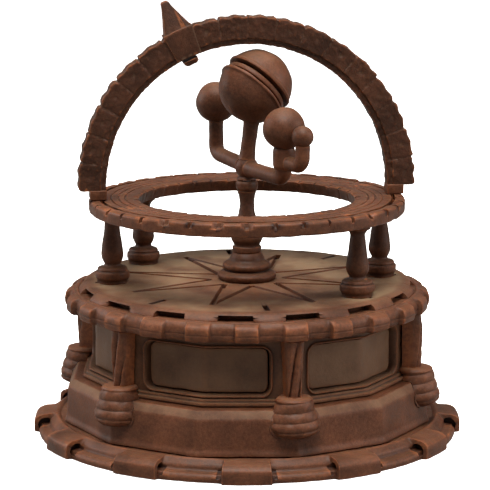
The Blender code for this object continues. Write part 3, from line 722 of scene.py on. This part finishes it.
def turn_outward(points, angle):
    """Points made at the front (-Y), turned to an angle round the base."""
    turn = math.radians(angle)
    spin = np.array(((math.cos(turn), -math.sin(turn), 0.0),
                     (math.sin(turn), math.cos(turn), 0.0), (0.0, 0.0, 1.0)))
    return np.asarray(points) @ spin.T


SURFACE_HEIGHTS = (5.0, 7.2, 7.6, 18.2, 21.4, 21.6, 22.8, 23.9, 24.0, 60.0)
SURFACE_RADII = (65.4, 65.4, 64.8, 64.1, 61.9, 58.6, 58.6, 57.4, 56.0, 56.0)


def base_surface_radius(angle, height):
    return polygon_radius(float(np.interp(height, SURFACE_HEIGHTS, SURFACE_RADII)), angle)


def keep_outside(points, angle):
    """Move points that lie inside the skirt or the drum out to their surface."""
    moved = []
    for x, y, z in points:
        around = math.degrees(math.atan2(x, -y))
        least = base_surface_radius(around + angle, z) + 0.06
        distance = math.hypot(x, y)
        scale = max(1.0, least / distance)
        moved.append((x * scale, y * scale, z))
    return np.array(moved)


def build_bulb(number, angle):
    """Pear-shaped boss with shallow rope-like turns, grown out of the skirt."""
    node = f"bracket_bulb_{number}"
    bottom = low(node)[2]
    top = high(node)[2] + 0.2
    axis_radius = 60.3
    widest = 15.4
    levels = 60
    columns = 72
    rows = []
    for i in range(levels + 1):
        z = bottom + (top - bottom) * i / levels
        if z < widest:
            body = 8.7 * math.sqrt(1.0 - ((widest - z) / (widest - bottom + 0.5)) ** 2)
        else:
            body = 8.7 - 2.3 * smoothstep((z - widest) / 9.5)
        rounding = max(0.0, 1.0 - (top - z) / 1.2)
        body -= 1.1 * rounding ** 2
        row = []
        for j in range(columns):
            turn = 2 * math.pi * j / columns
            twist = 0.22 * math.sin(turn - 0.5)
            wave = abs(math.sin(math.pi * ((z - bottom) / 3.1 + 0.15 + twist)))
            radius = body - 0.5 * (1.0 - wave ** 0.6) * smoothstep((z - bottom) / 1.5)
            row.append((radius * math.cos(turn), -axis_radius + radius * math.sin(turn), z))
        rows.append(row)
    rows = np.array([keep_outside(row, angle) for row in rows])
    rows = turn_outward(rows, angle)
    mesh = solid_mesh(node + "_look", rows)
    roughen(mesh, 0.35, 2.4, 20.0 + number)
    piece(mesh, "base", [node])


def build_strap(number, angle):
    """Hanging strap with cloth-like folds that run down from its right edge to its left."""
    node = f"bracket_strap_{number}"
    bottom = low(node)[2] - 0.4
    top = high(node)[2] + 0.2
    inner = 56.0
    front = 62.9
    levels = 44
    columns = 36
    rows = []
    for i in range(levels + 1):
        share = i / levels
        z = bottom + (top - bottom) * share
        half = 2.6 + 1.0 * share ** 1.2 + 0.25 * (1 - share) ** 3
        row = []
        for j in range(columns + 1):
            across = -1.0 + 2.0 * j / columns
            crown = 1.0 - abs(across) ** 4 * 0.35
            phase = across * 0.95 - (share - 0.5) * 0.85 + 0.2
            ridge = 2.0 * abs(math.sin(math.pi * phase)) ** 0.7 - 1.0
            fade = (1 - across ** 6) * (1.0 - 0.7 * smoothstep((share - 0.75) / 0.25))
            depth = (front - inner - 1.2) * crown + 0.75 * ridge * fade
            row.append((half * across, -(inner + depth), z))
        row.append((half, -inner, z))
        row.append((-half, -inner, z))
        rows.append(row)
    rows = turn_outward(np.array(rows), angle)
    mesh = solid_mesh(node + "_look", rows)
    roughen(mesh, 0.3, 2.0, 30.0 + number)
    piece(mesh, "base", [node])


def build_cornice():
    """Ring of rounded scroll-like teeth with deep slots between them."""
    bottom = low("cornice")[2]
    top = high("cornice")[2]
    common = [(60.0, top, .2), (59.6, top + 0.25, .2), (58.9, top + 0.25, .2), (58.7, top, .1),
              (44.0, top, .2), (44.0, bottom, .2)]
    tooth = [(61.9, bottom, .4), (63.5, bottom + 0.3, .9), (63.8, 46.3, .5), (63.65, 46.7, .3),
             (63.8, 47.1, .5), (63.4, 49.4, 2.2), (60.9, top, 1.2)]
    gap = [(60.8, bottom, .4), (61.7, bottom + 0.8, .6), (61.9, 46.3, .3), (61.75, 46.7, .25),
           (61.9, 47.1, .4), (61.7, 49.0, 1.6), (60.4, top - 0.05, .6)]
    mesh = toothed_ring("cornice_look", 24, 0.0, 3.9,
                        *matched_outlines(tooth + common, gap + common, 1.5),
                        flank=0.4, longest=1.2, vary=0.25, seed=4)
    roughen(mesh, 0.35, 2.4, 4.0)
    piece(mesh, "base", ["cornice"], look="resin_edge")


def groove_prism(start, end, width, depth, top):
    """Bar with a flat, narrower foot along a line on the deck, used as a cutter."""
    start = np.array(start)
    end = np.array(end)
    along = (end - start) / np.linalg.norm(end - start)
    across = np.array((-along[1], along[0]))
    foot = 0.3 * width
    section = [(-foot, top - depth), (foot, top - depth), (width / 2, top + 0.02),
               (width / 2, top + 1.0), (-width / 2, top + 1.0), (-width / 2, top + 0.02)]
    points = [(*(spot + across * x), z) for spot in (start, end) for x, z in section]
    size = len(section)
    faces = [(j, (j + 1) % size, size + (j + 1) % size, size + j) for j in range(size)]
    faces += [tuple(range(size))[::-1], tuple(range(size, 2 * size))]
    return points, faces


def build_deck():
    """Deck with an eight-pointed star and dashes cut in its top, and windows in its edge."""
    bottom = low("deck_plate")[2] - 0.3
    top = high("deck_plate")[2]
    foot_radius = 58.7
    radius = 57.0
    lid = top - 0.8
    bore = 1.8
    inside = [(30.0, top, .1), (bore, top, .1), (bore, bottom, .1), (30.0, bottom, .1)]
    edge = [(foot_radius, bottom, .1), (foot_radius - 0.5, bottom + 0.9, .6),
            (radius + 0.3, lid - 0.2, 1.1), (radius - 1.2, top, 1.0)]
    window = [(radius - 2.9, bottom, .1), (radius - 2.9, lid - 0.4, .3), (radius + 0.1, lid, .25),
              (radius - 1.0, top, .8)]
    windows = toothed_ring("deck_look", 16, 11.25, 5.6, rounded(window + inside),
                           rounded(edge + inside), flank=0.25, longest=2.5, vary=0.0)
    points = []
    faces = []

    def cut(start, end, width, depth):
        more_points, more_faces = groove_prism(start, end, width, depth, top)
        faces.extend(tuple(len(points) + i for i in face) for face in more_faces)
        points.extend(more_points)

    for i in range(8):
        tip = around(44.8, 45 * i)
        for side in (-1, 1):
            heel = around(12.5, 45 * i + 22.5 * side)
            cut(tip, heel, 2.0, 1.5)
        cut(around(44.8, 45 * i + 22.5), around(53.0, 45 * i + 22.5), 1.8, 1.3)
    star = bpy.data.meshes.new("star")
    star.from_pydata((np.array(points) * MM).tolist(), [], faces)
    mesh = combine_meshes("deck_plate_look", windows, star, "DIFFERENCE")
    piece(mesh, "base", ["deck_plate"], look="resin_deck", sharp=42.0)


# ---------------------------------------------------------------- balusters, ring and column

def build_balusters():
    foot = high("deck_plate")[2]
    head = low("horizon_ring")[2]
    height = head - foot
    for number in range(1, 5):
        node = f"baluster_{number}"
        centre = middle(node)
        corners = [
            (0.0, height, 0), (4.4, height, .3), (4.4, height - 1.6, .5), (3.4, height - 2.0, .3),
            (2.6, height - 3.2, .8), (2.9, height - 6.5, 1.0), (4.05, height - 14.5, 3.0),
            (3.7, 8.2, 1.6), (2.8, 6.7, .7), (3.3, 6.0, .4), (5.0, 5.6, .6), (5.4, 4.8, .3),
            (5.2, 4.5, .2), (6.0, 4.0, .7), (6.05, 1.9, .9), (5.3, 1.0, .3), (5.4, 0.0, .2),
            (0.0, 0.0, 0)]
        mesh = turned_mesh(node + "_look", corners, (centre[0], centre[1], foot), 40,
                           longest=1.2)
        roughen(mesh, 0.25, 3.0, 40.0 + number)
        piece(mesh, "base", [node], look="resin_turned")


def build_column():
    deck = high("deck_plate")[2]
    seam = high("column_base")[2] + 0.15
    neck = high("column_shaft")[2] + 0.15
    top = high("column_capital")[2]
    bore = 1.8
    base = turned_mesh("column_base_look", [
        (bore, seam, .1), (4.9, seam, .3), (5.9, 61.4, .6), (6.2, 60.2, .4), (7.3, 59.6, .3),
        (8.5, 58.8, .7), (8.5, 57.4, .7), (7.6, 56.7, .3), (9.3, 56.2, .5), (10.3, 55.4, .9),
        (10.3, 54.2, .8), (9.6, deck, .3), (bore, deck, .1)], steps=64, longest=1.0, closed=True)
    shaft = turned_mesh("column_shaft_look", [
        (bore, neck, .1), (3.5, neck, .3), (3.1, 83.2, .5), (2.5, 80.5, 1.0), (2.8, 77.0, 1.5),
        (4.3, 72.2, 2.0), (5.5, 69.0, 1.2), (5.6, 67.3, .9), (4.7, 65.9, .4), (4.5, 65.2, .3),
        (5.1, 64.9, .3), (5.1, seam, .3), (bore, seam, .1)], steps=56, longest=1.0, closed=True)
    capital = turned_mesh("column_capital_look", [
        (bore, top, .1), (3.4, top, .4), (3.9, 87.3, .5), (3.9, 85.4, .5), (3.3, neck, .3),
        (bore, neck, .1)], steps=48, longest=0.8, closed=True)
    for mesh, node, seed in ((base, "column_base", 51.0), (shaft, "column_shaft", 52.0),
                             (capital, "column_capital", 53.0)):
        roughen(mesh, 0.2, 3.0, seed)
        piece(mesh, "base", [node], look="resin_turned")


def build_horizon_ring():
    """Flat ring with a guide slot, raised rings towards its inner edge and small notches."""
    bottom = low("horizon_ring")[2]
    top = high("horizon_ring")[2]
    outer = high("horizon_ring")[0]
    inner = 37.3
    guide = 50.8
    neck = 0.6
    head = 1.8
    shoulder = top - 1.5
    floor = top - 3.3
    groove = [(0.3, -0.05), (0.15, -0.4), (-0.15, -0.4), (-0.3, -0.05)]
    common = [
        (guide + neck, top, .15), (guide + neck, shoulder, .1), (guide + head, shoulder, .1),
        (guide + head, floor, .1), (guide - head, floor, .1), (guide - head, shoulder, .1),
        (guide - neck, shoulder, .1), (guide - neck, top, .15)]
    for radius in (47.2, 44.6, 42.2):
        common += [(radius + out, top + down, .15) for out, down in groove]
    plain_inside = [(39.6, top - 0.1, .3), (38.2, top - 0.1, .4), (inner, top - 0.6, .4)]
    notched_inside = [(39.4, top - 0.1, .3), (38.7, top - 0.6, .3), (inner + 0.2, top - 0.9, .3)]
    under = [(inner + 1.2, bottom + 0.3, .3), (inner + 1.6, bottom, .3), (outer - 0.5, bottom, .4),
             (outer, bottom + 0.5, .4)]
    plain_edge = [(outer, top - 2.1, .1), (outer, top - 0.8, .3), (outer - 0.6, top - 0.05, .5),
                  (outer - 2.4, top, .3)]
    notched_edge = [(outer - 0.1, top - 2.1, .1), (outer - 1.2, top - 1.9, .2),
                    (outer - 1.9, top - 1.6, .2), (outer - 2.3, top - 0.1, .2)]
    plain, notched = matched_outlines(common + plain_inside + under + plain_edge,
                                      common + notched_inside + under + notched_edge, 1.6)
    mesh = toothed_ring("horizon_ring_look", 36, 5.0, 0.6, notched, plain, flank=0.1,
                        longest=1.6, vary=0.0)
    roughen(mesh, 0.3, 2.6, 6.0)
    piece(mesh, "base", ["horizon_ring"], look="resin_edge")


# ---------------------------------------------------------------- arch and pointer

ARCH_CENTRE = JOINTS["arch_turn"]["pos_m"][2] / MM
ARCH_AXIS = JOINTS["pointer_slide"]["axis"]
ARCH_YAW = math.degrees(math.atan2(ARCH_AXIS[0], -ARCH_AXIS[1]))
ARCH_BLOCKS = 18
ARCH_OVERHANG = 1.0
ARCH_INNER = 48.7
ARCH_RAIL = 50.6
ARCH_OUTER = 59.2
ARCH_HALF_WIDTH = 3.7
POINTER_ANGLE = 114.2
ARCH_MATRIX = (Matrix.Translation((0.0, 0.0, ARCH_CENTRE))
               @ Matrix.Rotation(math.radians(ARCH_YAW), 4, "Z"))


def place(points, matrix):
    """Move rows of points by a matrix that is in millimetres."""
    points = np.asarray(points)
    flat = points.reshape(-1, 3) @ np.array(matrix.to_3x3()).T + np.array(matrix.translation)
    return flat.reshape(points.shape)


def on_arch(radius, angle, side):
    turn = math.radians(angle)
    return (radius * math.cos(turn), side, radius * math.sin(turn))


def build_arch():
    """Half-circle of rough blocks with narrow joints, on a thinner rail along its inside."""
    random = np.random.default_rng(11)
    pitch = (180 + 2 * ARCH_OVERHANG) / ARCH_BLOCKS
    rail_half = ARCH_HALF_WIDTH - 0.9
    corners = [
        (ARCH_INNER, -rail_half, .5), (ARCH_RAIL, -rail_half, .3),
        (ARCH_RAIL + 0.2, -ARCH_HALF_WIDTH, .5), (ARCH_OUTER, -ARCH_HALF_WIDTH, .9),
        (ARCH_OUTER, ARCH_HALF_WIDTH, .9), (ARCH_RAIL + 0.2, ARCH_HALF_WIDTH, .5),
        (ARCH_RAIL, rail_half, .3), (ARCH_INNER, rail_half, .5)]
    outline = densify(rounded(corners, 4), 0.55)
    shares = [0.0, 0.025, 0.05, 0.09, 0.15, *np.linspace(0.22, 0.78, 13), 0.85, 0.91, 0.95, 0.975]
    rows = []
    for i in range(ARCH_BLOCKS):
        bulge = random.uniform(-0.25, 0.0)
        tilt = random.uniform(-0.35, 0.35)
        for share in shares:
            rows.append(arch_row(outline, pitch, i, share, bulge, tilt))
    rows.append(arch_row(outline, pitch, ARCH_BLOCKS, 0.0, 0.0, 0.0))
    mesh = solid_mesh("arch_look", place(np.array(rows), ARCH_MATRIX))
    roughen(mesh, 0.4, 2.8, 7.0)
    roughen(mesh, 0.3, 1.0, 8.0)
    piece(mesh, "arch", ["arch"], look="resin_arch")


def arch_row(outline, pitch, block, share, bulge, tilt):
    angle = -ARCH_OVERHANG + pitch * (block + share)
    near_joint = math.exp(-(min(share, 1.0 - share) / 0.03) ** 2)
    round_off = abs(2 * share - 1.0) ** 6
    hump = 0.2 * math.sin(2 * math.pi * share * 2.0 + block * 1.7)
    row = []
    for radius, side in outline:
        height = (radius - ARCH_RAIL) / (ARCH_OUTER - ARCH_RAIL)
        if height > 0.0:
            outward = bulge + tilt * (share - 0.5) - 0.5 * near_joint - 0.35 * round_off
            radius += min(0.0, outward + hump - 0.2) * height ** 2
            side *= 1.0 - 0.035 * near_joint - 0.02 * round_off
            dimple_x = (share - 0.5) * pitch * math.pi / 180 * radius
            dimple_y = radius - 55.2
            dimple = math.exp(-(dimple_x ** 2 + dimple_y ** 2) / 0.8)
            if abs(side) > ARCH_HALF_WIDTH - 0.6:
                side -= math.copysign(0.35 * dimple, side)
        else:
            side *= 1.0 - 0.03 * near_joint
        row.append(on_arch(radius, angle, side))
    return row


def rounded_block(name, size, centre, matrix, fillet=0.7, seed=0.0, depth=0.3):
    """Block with rounded edges and a fine, uneven surface."""
    half = np.array(size) / 2
    plan = densify(rounded([(-half[0], -half[1], fillet), (half[0], -half[1], fillet),
                            (half[0], half[1], fillet), (-half[0], half[1], fillet)], 5), 0.7)
    rows = []
    lifts = np.array([0.0, 0.12, 0.3, 0.6, 1.0]) * fillet
    insets = np.array([1.0, 0.55, 0.25, 0.06, 0.0]) * fillet
    profile = [(-half[2] + lift, inset) for lift, inset in zip(lifts, insets)]
    profile += [(half[2] - lift, inset) for lift, inset in list(zip(lifts, insets))[::-1]]
    for z, inset in profile:
        shrink = (half[:2] - inset) / half[:2]
        rows.append(np.column_stack((plan * shrink, np.full(len(plan), z))))
    rows = place(np.array(rows) + np.array(centre), matrix)
    mesh = solid_mesh(name, rows)
    return roughen(mesh, depth, 2.2, seed)


def build_arch_feet():
    gap = 0.06
    bottom = high("horizon_ring")[2] + gap - ARCH_CENTRE
    end = math.radians(ARCH_OVERHANG)
    top = -math.sin(end) * ARCH_RAIL + 0.3
    for number, side in ((1, 1.0), (2, -1.0)):
        mesh = rounded_block(f"arch_foot_{number}_look", (5.9, 7.2, top - bottom),
                             (51.8 * side, 0.0, (top + bottom) / 2), ARCH_MATRIX, 0.35,
                             60.0 + number, 0.25)
        piece(mesh, "arch", [f"arch_foot_{number}"], look="resin_edge")


def build_pointer():
    """Fin on a thin saddle that straddles the arch, and the clamp bar under it."""
    inner_half = ARCH_HALF_WIDTH + 0.12
    outer_half = inner_half + 0.3
    seat = ARCH_OUTER + 0.05
    crown = seat + 0.35
    cheek = ARCH_INNER + 0.6
    corners = [
        (cheek, -outer_half + 0.3, .2), (cheek + 2.0, -outer_half, .8), (crown, -outer_half, .7),
        (crown, outer_half, .7), (cheek + 2.0, outer_half, .8), (cheek, outer_half - 0.3, .2),
        (cheek, inner_half, .1), (seat, inner_half, .1), (seat, -inner_half, .1),
        (cheek, -inner_half, .1)]
    outline = densify(rounded(corners, 4), 0.8)
    rows = []
    for share in np.linspace(-1.0, 1.0, 25):
        angle = POINTER_ANGLE + 5.2 * share
        shrink = 0.3 + 0.7 * smoothstep((1.0 - abs(share)) * 5.0)
        row = []
        for radius, side in outline:
            lift = radius - seat
            radius = seat + lift * shrink if lift > 0.0 else radius
            over = abs(side) - inner_half
            if over > 0.0:
                side = math.copysign(inner_half + over * shrink, side)
            row.append(on_arch(radius, angle, side))
        rows.append(row)
    saddle = solid_mesh("pointer_saddle", place(np.array(rows), ARCH_MATRIX))
    mesh = combine_meshes("pointer_look", saddle, fin_mesh(crown - 0.5), "UNION")
    roughen(mesh, 0.2, 2.0, 8.0)
    piece(mesh, "pointer", ["pointer"], look="resin_arch")
    rows = []
    for angle in np.linspace(-3.2, 3.2, 13):
        bar = densify(rounded([(46.3, -3.7, .9), (48.35, -4.3, .4), (48.35, 4.3, .4),
                               (46.3, 3.7, .9)], 4), 0.8)
        inset = 1.2 * (abs(angle) / 3.2) ** 5
        rows.append([on_arch(r + inset * (r < 47.0), POINTER_ANGLE + angle, side * (1 - inset / 9))
                     for r, side in bar])
    clamp = solid_mesh("pointer_clamp_look", place(np.array(rows), ARCH_MATRIX))
    roughen(clamp, 0.25, 2.0, 9.0)
    piece(clamp, "pointer", ["pointer_clamp"], look="resin_arch")


def fin_mesh(root):
    """Fin with one steep and one slanted edge, thinner towards its rounded tip."""
    tip = 69.85
    tip_side = 0.0
    outline = rounded([(4.8, root, .3), (1.75, tip - 2.2, .8), (1.4, tip, 1.3), (-1.4, tip, 1.3),
                       (-1.9, tip - 2.4, 1.0), (-5.2, root, .3)], 7)
    outline = densify(outline, 0.7)
    centre = np.array((tip_side, root + 3.0))
    turn = math.radians(POINTER_ANGLE)
    outward = np.array((math.cos(turn), 0.0, math.sin(turn)))
    along = np.array((-math.sin(turn), 0.0, math.cos(turn)))
    rows = []
    half = ARCH_HALF_WIDTH + 0.3
    for side, inset in ((-half, 0.5), (-half + 0.1, 0.2), (-half + 0.45, 0.0),
                        (half - 0.45, 0.0), (half - 0.1, 0.2), (half, 0.5)):
        row = []
        for x, y in outline:
            back = centre - (x, y)
            x, y = np.array((x, y)) + back / max(np.linalg.norm(back), 1e-6) * inset
            thin = 1.0 - 0.62 * max(0.0, (y - root) / (tip - root)) ** 0.7
            row.append(along * x + outward * y + np.array((0.0, side * thin, 0.0)))
        rows.append(row)
    return solid_mesh("pointer_fin", place(np.array(rows), ARCH_MATRIX))


# ---------------------------------------------------------------- sun, planets and moon

MOON_AXIS = np.array(JOINTS["moon_turn"]["pos_m"]) / MM
ORRERY_YAW = math.atan2(MOON_AXIS[1], MOON_AXIS[0])
NEAR_REACH = math.hypot(MOON_AXIS[0], MOON_AXIS[1])
NEAR_ARM_HEIGHT = 92.4
FAR_ARM_HEIGHT = 93.0
FAR_ARM_RISE = 1.2
ARM_BEND = 3.5
ARM_RADIUS = 2.65


def tube_mesh(name, route, radii, columns=28):
    """Round bar along a route of 3-D points, with a radius at each point."""
    route = np.asarray(route, float)
    along = np.gradient(route, axis=0)
    along /= np.linalg.norm(along, axis=1)[:, None]
    side = np.cross(along[0], (0.0, 0.0, 1.0))
    if np.linalg.norm(side) < 0.1:
        side = np.cross(along[0], (1.0, 0.0, 0.0))
    rows = []
    for spot, ahead, radius in zip(route, along, radii):
        side = side - ahead * np.dot(side, ahead)
        side /= np.linalg.norm(side)
        up = np.cross(side, ahead)
        turns = np.linspace(0.0, 2 * math.pi, columns, endpoint=False)
        rows.append([spot + radius * (math.cos(t) * side + math.sin(t) * up) for t in turns])
    return solid_mesh(name, rows)


def elbow_route(start, end_top, height, reach, bend, yaw, origin=(0.0, 0.0), spacing=0.8,
                rise=0.0):
    """Route that runs out, climbing by rise, then turns up on an arc to end_top."""
    points = [(start, height)]
    for turn in np.linspace(0.0, math.pi / 2, 12):
        points.append((reach - bend * (1 - math.sin(turn)),
                       height + rise + bend * (1 - math.cos(turn))))
    points.append((reach, end_top))
    points = densify(np.array(points), spacing, closed=False)
    direction = np.array((math.cos(yaw), math.sin(yaw)))
    return [(*(np.array(origin) + direction * out), z) for out, z in points]


def lumpy_ball(name, node, body, seed, depth=0.3, grain=4.5):
    """Cast ball, not quite round."""
    centre = middle(node)
    radius = (high(node)[2] - low(node)[2]) / 2
    count = 20
    corners = [(radius * math.sin(math.pi * i / count), radius * math.cos(math.pi * i / count), .2)
               for i in range(count + 1)]
    corners[0] = (0.0, radius, 0.0)
    corners[-1] = (0.0, -radius, 0.0)
    mesh = turned_mesh(name, corners, centre, steps=56, fillets=3, longest=3.0)
    roughen(mesh, depth, grain, seed)
    return piece(mesh, body, [node], look="resin_ball")


def build_orrery():
    hub = np.array((0.0, 0.0, low("orrery_hub")[2]))
    hub_top = high("orrery_hub")[2] - hub[2]
    hub_radius = high("orrery_hub")[0]
    centre = hub_top - hub_radius
    corners = [(0.0, hub_top, 0.0)]
    for turn in range(15, 136, 12):
        corners.append((hub_radius * math.sin(math.radians(turn)),
                        centre + hub_radius * math.cos(math.radians(turn)), .2))
    corners += [(3.6, -0.3, .4), (3.55, -0.85, .1), (3.3, -0.85, .1), (3.3, -0.1, .1),
                (1.4, -0.1, .1), (1.4, centre + 0.1, .1), (0.0, centre + 0.1, 0.0)]
    mesh = turned_mesh("orrery_hub_look", corners, hub, steps=48, fillets=3, longest=0.8)
    roughen(mesh, 0.25, 3.0, 70.0)
    piece(mesh, "orrery", ["orrery_hub"], look="resin_ball")
    near_z = middle("near_planet")[2]
    far = middle("far_planet")
    far_reach = math.hypot(far[0], far[1])
    routes = (
        ("near_arm", elbow_route(2.6, near_z - 6.4, NEAR_ARM_HEIGHT, NEAR_REACH, ARM_BEND,
                                 ORRERY_YAW)),
        ("far_arm", elbow_route(2.6, far[2] - 6.4, FAR_ARM_HEIGHT, far_reach, ARM_BEND,
                                ORRERY_YAW + math.pi, rise=FAR_ARM_RISE)))
    for node, route in routes:
        count = len(route)
        radii = [ARM_RADIUS + 0.5 * math.exp(-i / 1.6) for i in range(count)]
        mesh = tube_mesh(node + "_look", route, radii)
        roughen(mesh, 0.2, 2.8, 71.0 + count)
        piece(mesh, "orrery", [node], look="resin_ball")
    lumpy_ball("near_planet_look", "near_planet", "orrery", 73.0)
    lumpy_ball("far_planet_look", "far_planet", "orrery", 74.0)
    build_sun()
    build_moon()


SUN_AXIS = Vector((0.486, 0.544, 0.69)).normalized()
SUN_RADIUS = 12.9
SUN_SPLIT_HALF = 1.5


def build_sun():
    """Two domes with raised lips on either side of a recessed band."""
    centre = middle("sun_disc")
    foot = np.array((0.0, 0.0, high("orrery_hub")[2] - 1.2))
    lean = centre - foot
    lean /= np.linalg.norm(lean)
    end = centre - lean * (SUN_RADIUS - 1.2)
    count = 16
    route = [foot + (end - foot) * i / count for i in range(count + 1)]
    radii = [ARM_RADIUS + 0.4 * math.exp(-i / 2.0) + 0.5 * math.exp((i - count) / 1.5)
             for i in range(count + 1)]
    stem = tube_mesh("sun_stem_look", route, radii)
    roughen(stem, 0.2, 2.8, 75.0)
    piece(stem, "orrery", ["sun_stem"], look="resin_ball")
    tilt = SUN_AXIS.to_track_quat("Z", "Y").to_matrix()
    flip = tilt @ Matrix.Rotation(math.pi, 3, "X")
    dome = [(0.0, SUN_RADIUS, 0.0)]
    for degrees in range(8, 73, 8):
        turn = math.radians(degrees)
        dome.append((SUN_RADIUS * math.sin(turn) - 0.3 * smoothstep((degrees - 40) / 30),
                     SUN_RADIUS * math.cos(turn), .3))
    dome += [(12.25, 3.2, .3), (12.55, 2.9, .25), (12.85, 2.6, .4),
             (12.8, SUN_SPLIT_HALF + 0.1, .4), (12.0, SUN_SPLIT_HALF, .3),
             (2.0, SUN_SPLIT_HALF, .1), (2.0, 6.3, .1), (0.0, 6.3, 0.0)]
    for name, matrix, seed in (("sun_upper", tilt, 76.0), ("sun_lower", flip, 77.0)):
        mesh = turned_mesh(name + "_look", dome, centre, steps=80, fillets=3, longest=1.2,
                           tilt=matrix)
        roughen(mesh, 0.35, 4.5, seed)
        piece(mesh, "orrery", [name], look="resin_ball")
    band = turned_mesh("sun_disc_look", [
        (1.6, 0.9, .1), (11.2, 0.9, .3), (11.8, 0.4, .5), (11.8, -0.9, .3), (11.2, -1.2, .3),
        (1.6, -1.2, .1)], centre, steps=72, longest=1.5, closed=True, tilt=tilt)
    piece(band, "orrery", ["sun_disc"], "resin_dark", "resin_ball")


def build_moon():
    moon = middle("moon")
    reach = moon[:2] - MOON_AXIS[:2]
    yaw = math.atan2(reach[1], reach[0])
    bottom = low("moon_arm")[2]
    arm_radius = 2.5
    arm_height = 98.1
    collar_top = 102.8
    outer = 3.85
    bore = 3.0
    collar = turned_mesh("moon_collar", [
        (bore, collar_top, .1), (outer - 0.3, collar_top + 0.35, .1), (outer, collar_top - 0.6, .8),
        (outer, bottom + 1.2, 1.0), (outer - 0.6, bottom, .5), (bore, bottom, .2)],
        (MOON_AXIS[0], MOON_AXIS[1], 0.0), steps=48, longest=0.8, closed=True)
    route = elbow_route(3.4, moon[2] - 3.0, arm_height, float(np.linalg.norm(reach)), ARM_BEND,
                        yaw, MOON_AXIS[:2], 0.5)
    radii = [arm_radius + 0.3 * math.exp(-i / 2.2) for i in range(len(route))]
    arm = tube_mesh("moon_tube", route, radii, 24)
    mesh = combine_meshes("moon_arm_look", collar, arm, "UNION")
    roughen(mesh, 0.15, 2.6, 78.0)
    piece(mesh, "moon", ["moon_arm"], look="resin_ball")
    lumpy_ball("moon_look", "moon", "moon", 79.0, 0.2, 3.0)


# ---------------------------------------------------------------- stage

def dress_cad_nodes():
    """Give each CAD node that stays in view its finished material."""
    looks = {
        "tie_rod": "steel", "rod_nut": "steel", "rod_washer": "steel", "sun_pin": "brass",
        "thrust_washer": "resin_dark", "arch_shoe_1": "resin_dark", "arch_shoe_2": "resin_dark"}
    for node, look in looks.items():
        slots = frame["nodes"][node].material_slots
        for slot in slots:
            slot.material = MATERIALS[look]


def make_floor():
    mesh = bpy.data.meshes.new("floor")
    half = 6.0
    mesh.from_pydata([(-half, -half, 0), (half, -half, 0), (half, half, 0), (-half, half, 0)],
                     [], [(0, 1, 2, 3)])
    floor = bpy.data.objects.new("floor", mesh)
    bpy.context.scene.collection.objects.link(floor)
    material = bpy.data.materials.new("floor_white")
    nodes = Nodes(material)
    nodes.shader.inputs["Base Color"].default_value = (0.95, 0.95, 0.94, 1.0)
    nodes.shader.inputs["Roughness"].default_value = 0.8
    nodes.shader.inputs["Emission Color"].default_value = (1.0, 1.0, 1.0, 1.0)
    nodes.shader.inputs["Emission Strength"].default_value = 0.8
    bounce = nodes.add("ShaderNodeBsdfDiffuse")
    bounce.inputs["Color"].default_value = (0.28, 0.27, 0.26, 1.0)
    seen = nodes.add("ShaderNodeLightPath").outputs["Is Camera Ray"]
    mix = nodes.add("ShaderNodeMixShader")
    nodes.link(seen, mix.inputs["Fac"])
    nodes.link(bounce.outputs["BSDF"], mix.inputs[1])
    nodes.link(nodes.shader.outputs["BSDF"], mix.inputs[2])
    nodes.link(mix.outputs["Shader"], nodes.tree.nodes["Material Output"].inputs["Surface"])
    mesh.materials.append(material)


def aim(obj, target):
    direction = Vector(target) - obj.location
    obj.rotation_euler = direction.to_track_quat("-Z", "Y").to_euler()


def add_area_light(name, location, target, size, power, color=(1.0, 1.0, 1.0)):
    light = bpy.data.lights.new(name, "AREA")
    light.shape = "DISK"
    light.size = size
    light.energy = power
    light.color = color
    obj = bpy.data.objects.new(name, light)
    bpy.context.scene.collection.objects.link(obj)
    obj.location = location
    aim(obj, target)


def make_lights():
    world = bpy.data.worlds.new("studio")
    world.use_nodes = True
    tree = world.node_tree
    background = tree.nodes["Background"]
    background.inputs["Color"].default_value = (1.0, 1.0, 1.0, 1.0)
    seen = tree.nodes.new("ShaderNodeLightPath").outputs["Is Camera Ray"]
    strength = tree.nodes.new("ShaderNodeMapRange")
    strength.inputs["To Min"].default_value = 0.21
    strength.inputs["To Max"].default_value = 1.0
    tree.links.new(seen, strength.inputs["Value"])
    tree.links.new(strength.outputs["Result"], background.inputs["Strength"])
    bpy.context.scene.world = world
    centre = (0.0, 0.0, 0.06)
    add_area_light("key", (0.05, -0.35, 1.3), centre, 1.2, 41.0, (1.0, 0.97, 0.92))
    add_area_light("left", (-1.1, 0.05, 0.5), centre, 0.7, 7.0)
    add_area_light("right", (1.1, 0.15, 0.5), centre, 0.7, 7.0)


CAMERA_PLACE = (0.2174, -0.8114, 0.2254)
CAMERA_TARGET = (-0.00063, -0.00017, 0.06515)
CAMERA_LENS = 180.26


def make_camera():
    camera = bpy.data.cameras.new("camera")
    camera.lens = CAMERA_LENS
    camera.sensor_width = 36.0
    obj = bpy.data.objects.new("camera", camera)
    bpy.context.scene.collection.objects.link(obj)
    obj.location = CAMERA_PLACE
    aim(obj, CAMERA_TARGET)
    bpy.context.scene.camera = obj


build_rim()
build_cover()
build_skirt()
build_drum()
for index in range(PANELS):
    build_bulb(index + 1, PANEL_STEP * (index + 0.5))
    build_strap(index + 1, PANEL_STEP * (index + 0.5))
build_cornice()
build_deck()
build_balusters()
build_column()
build_horizon_ring()
build_arch()
build_arch_feet()
build_pointer()
build_orrery()
dress_cad_nodes()
make_floor()
make_lights()
make_camera()
bpy.context.scene.view_settings.view_transform = "Standard"
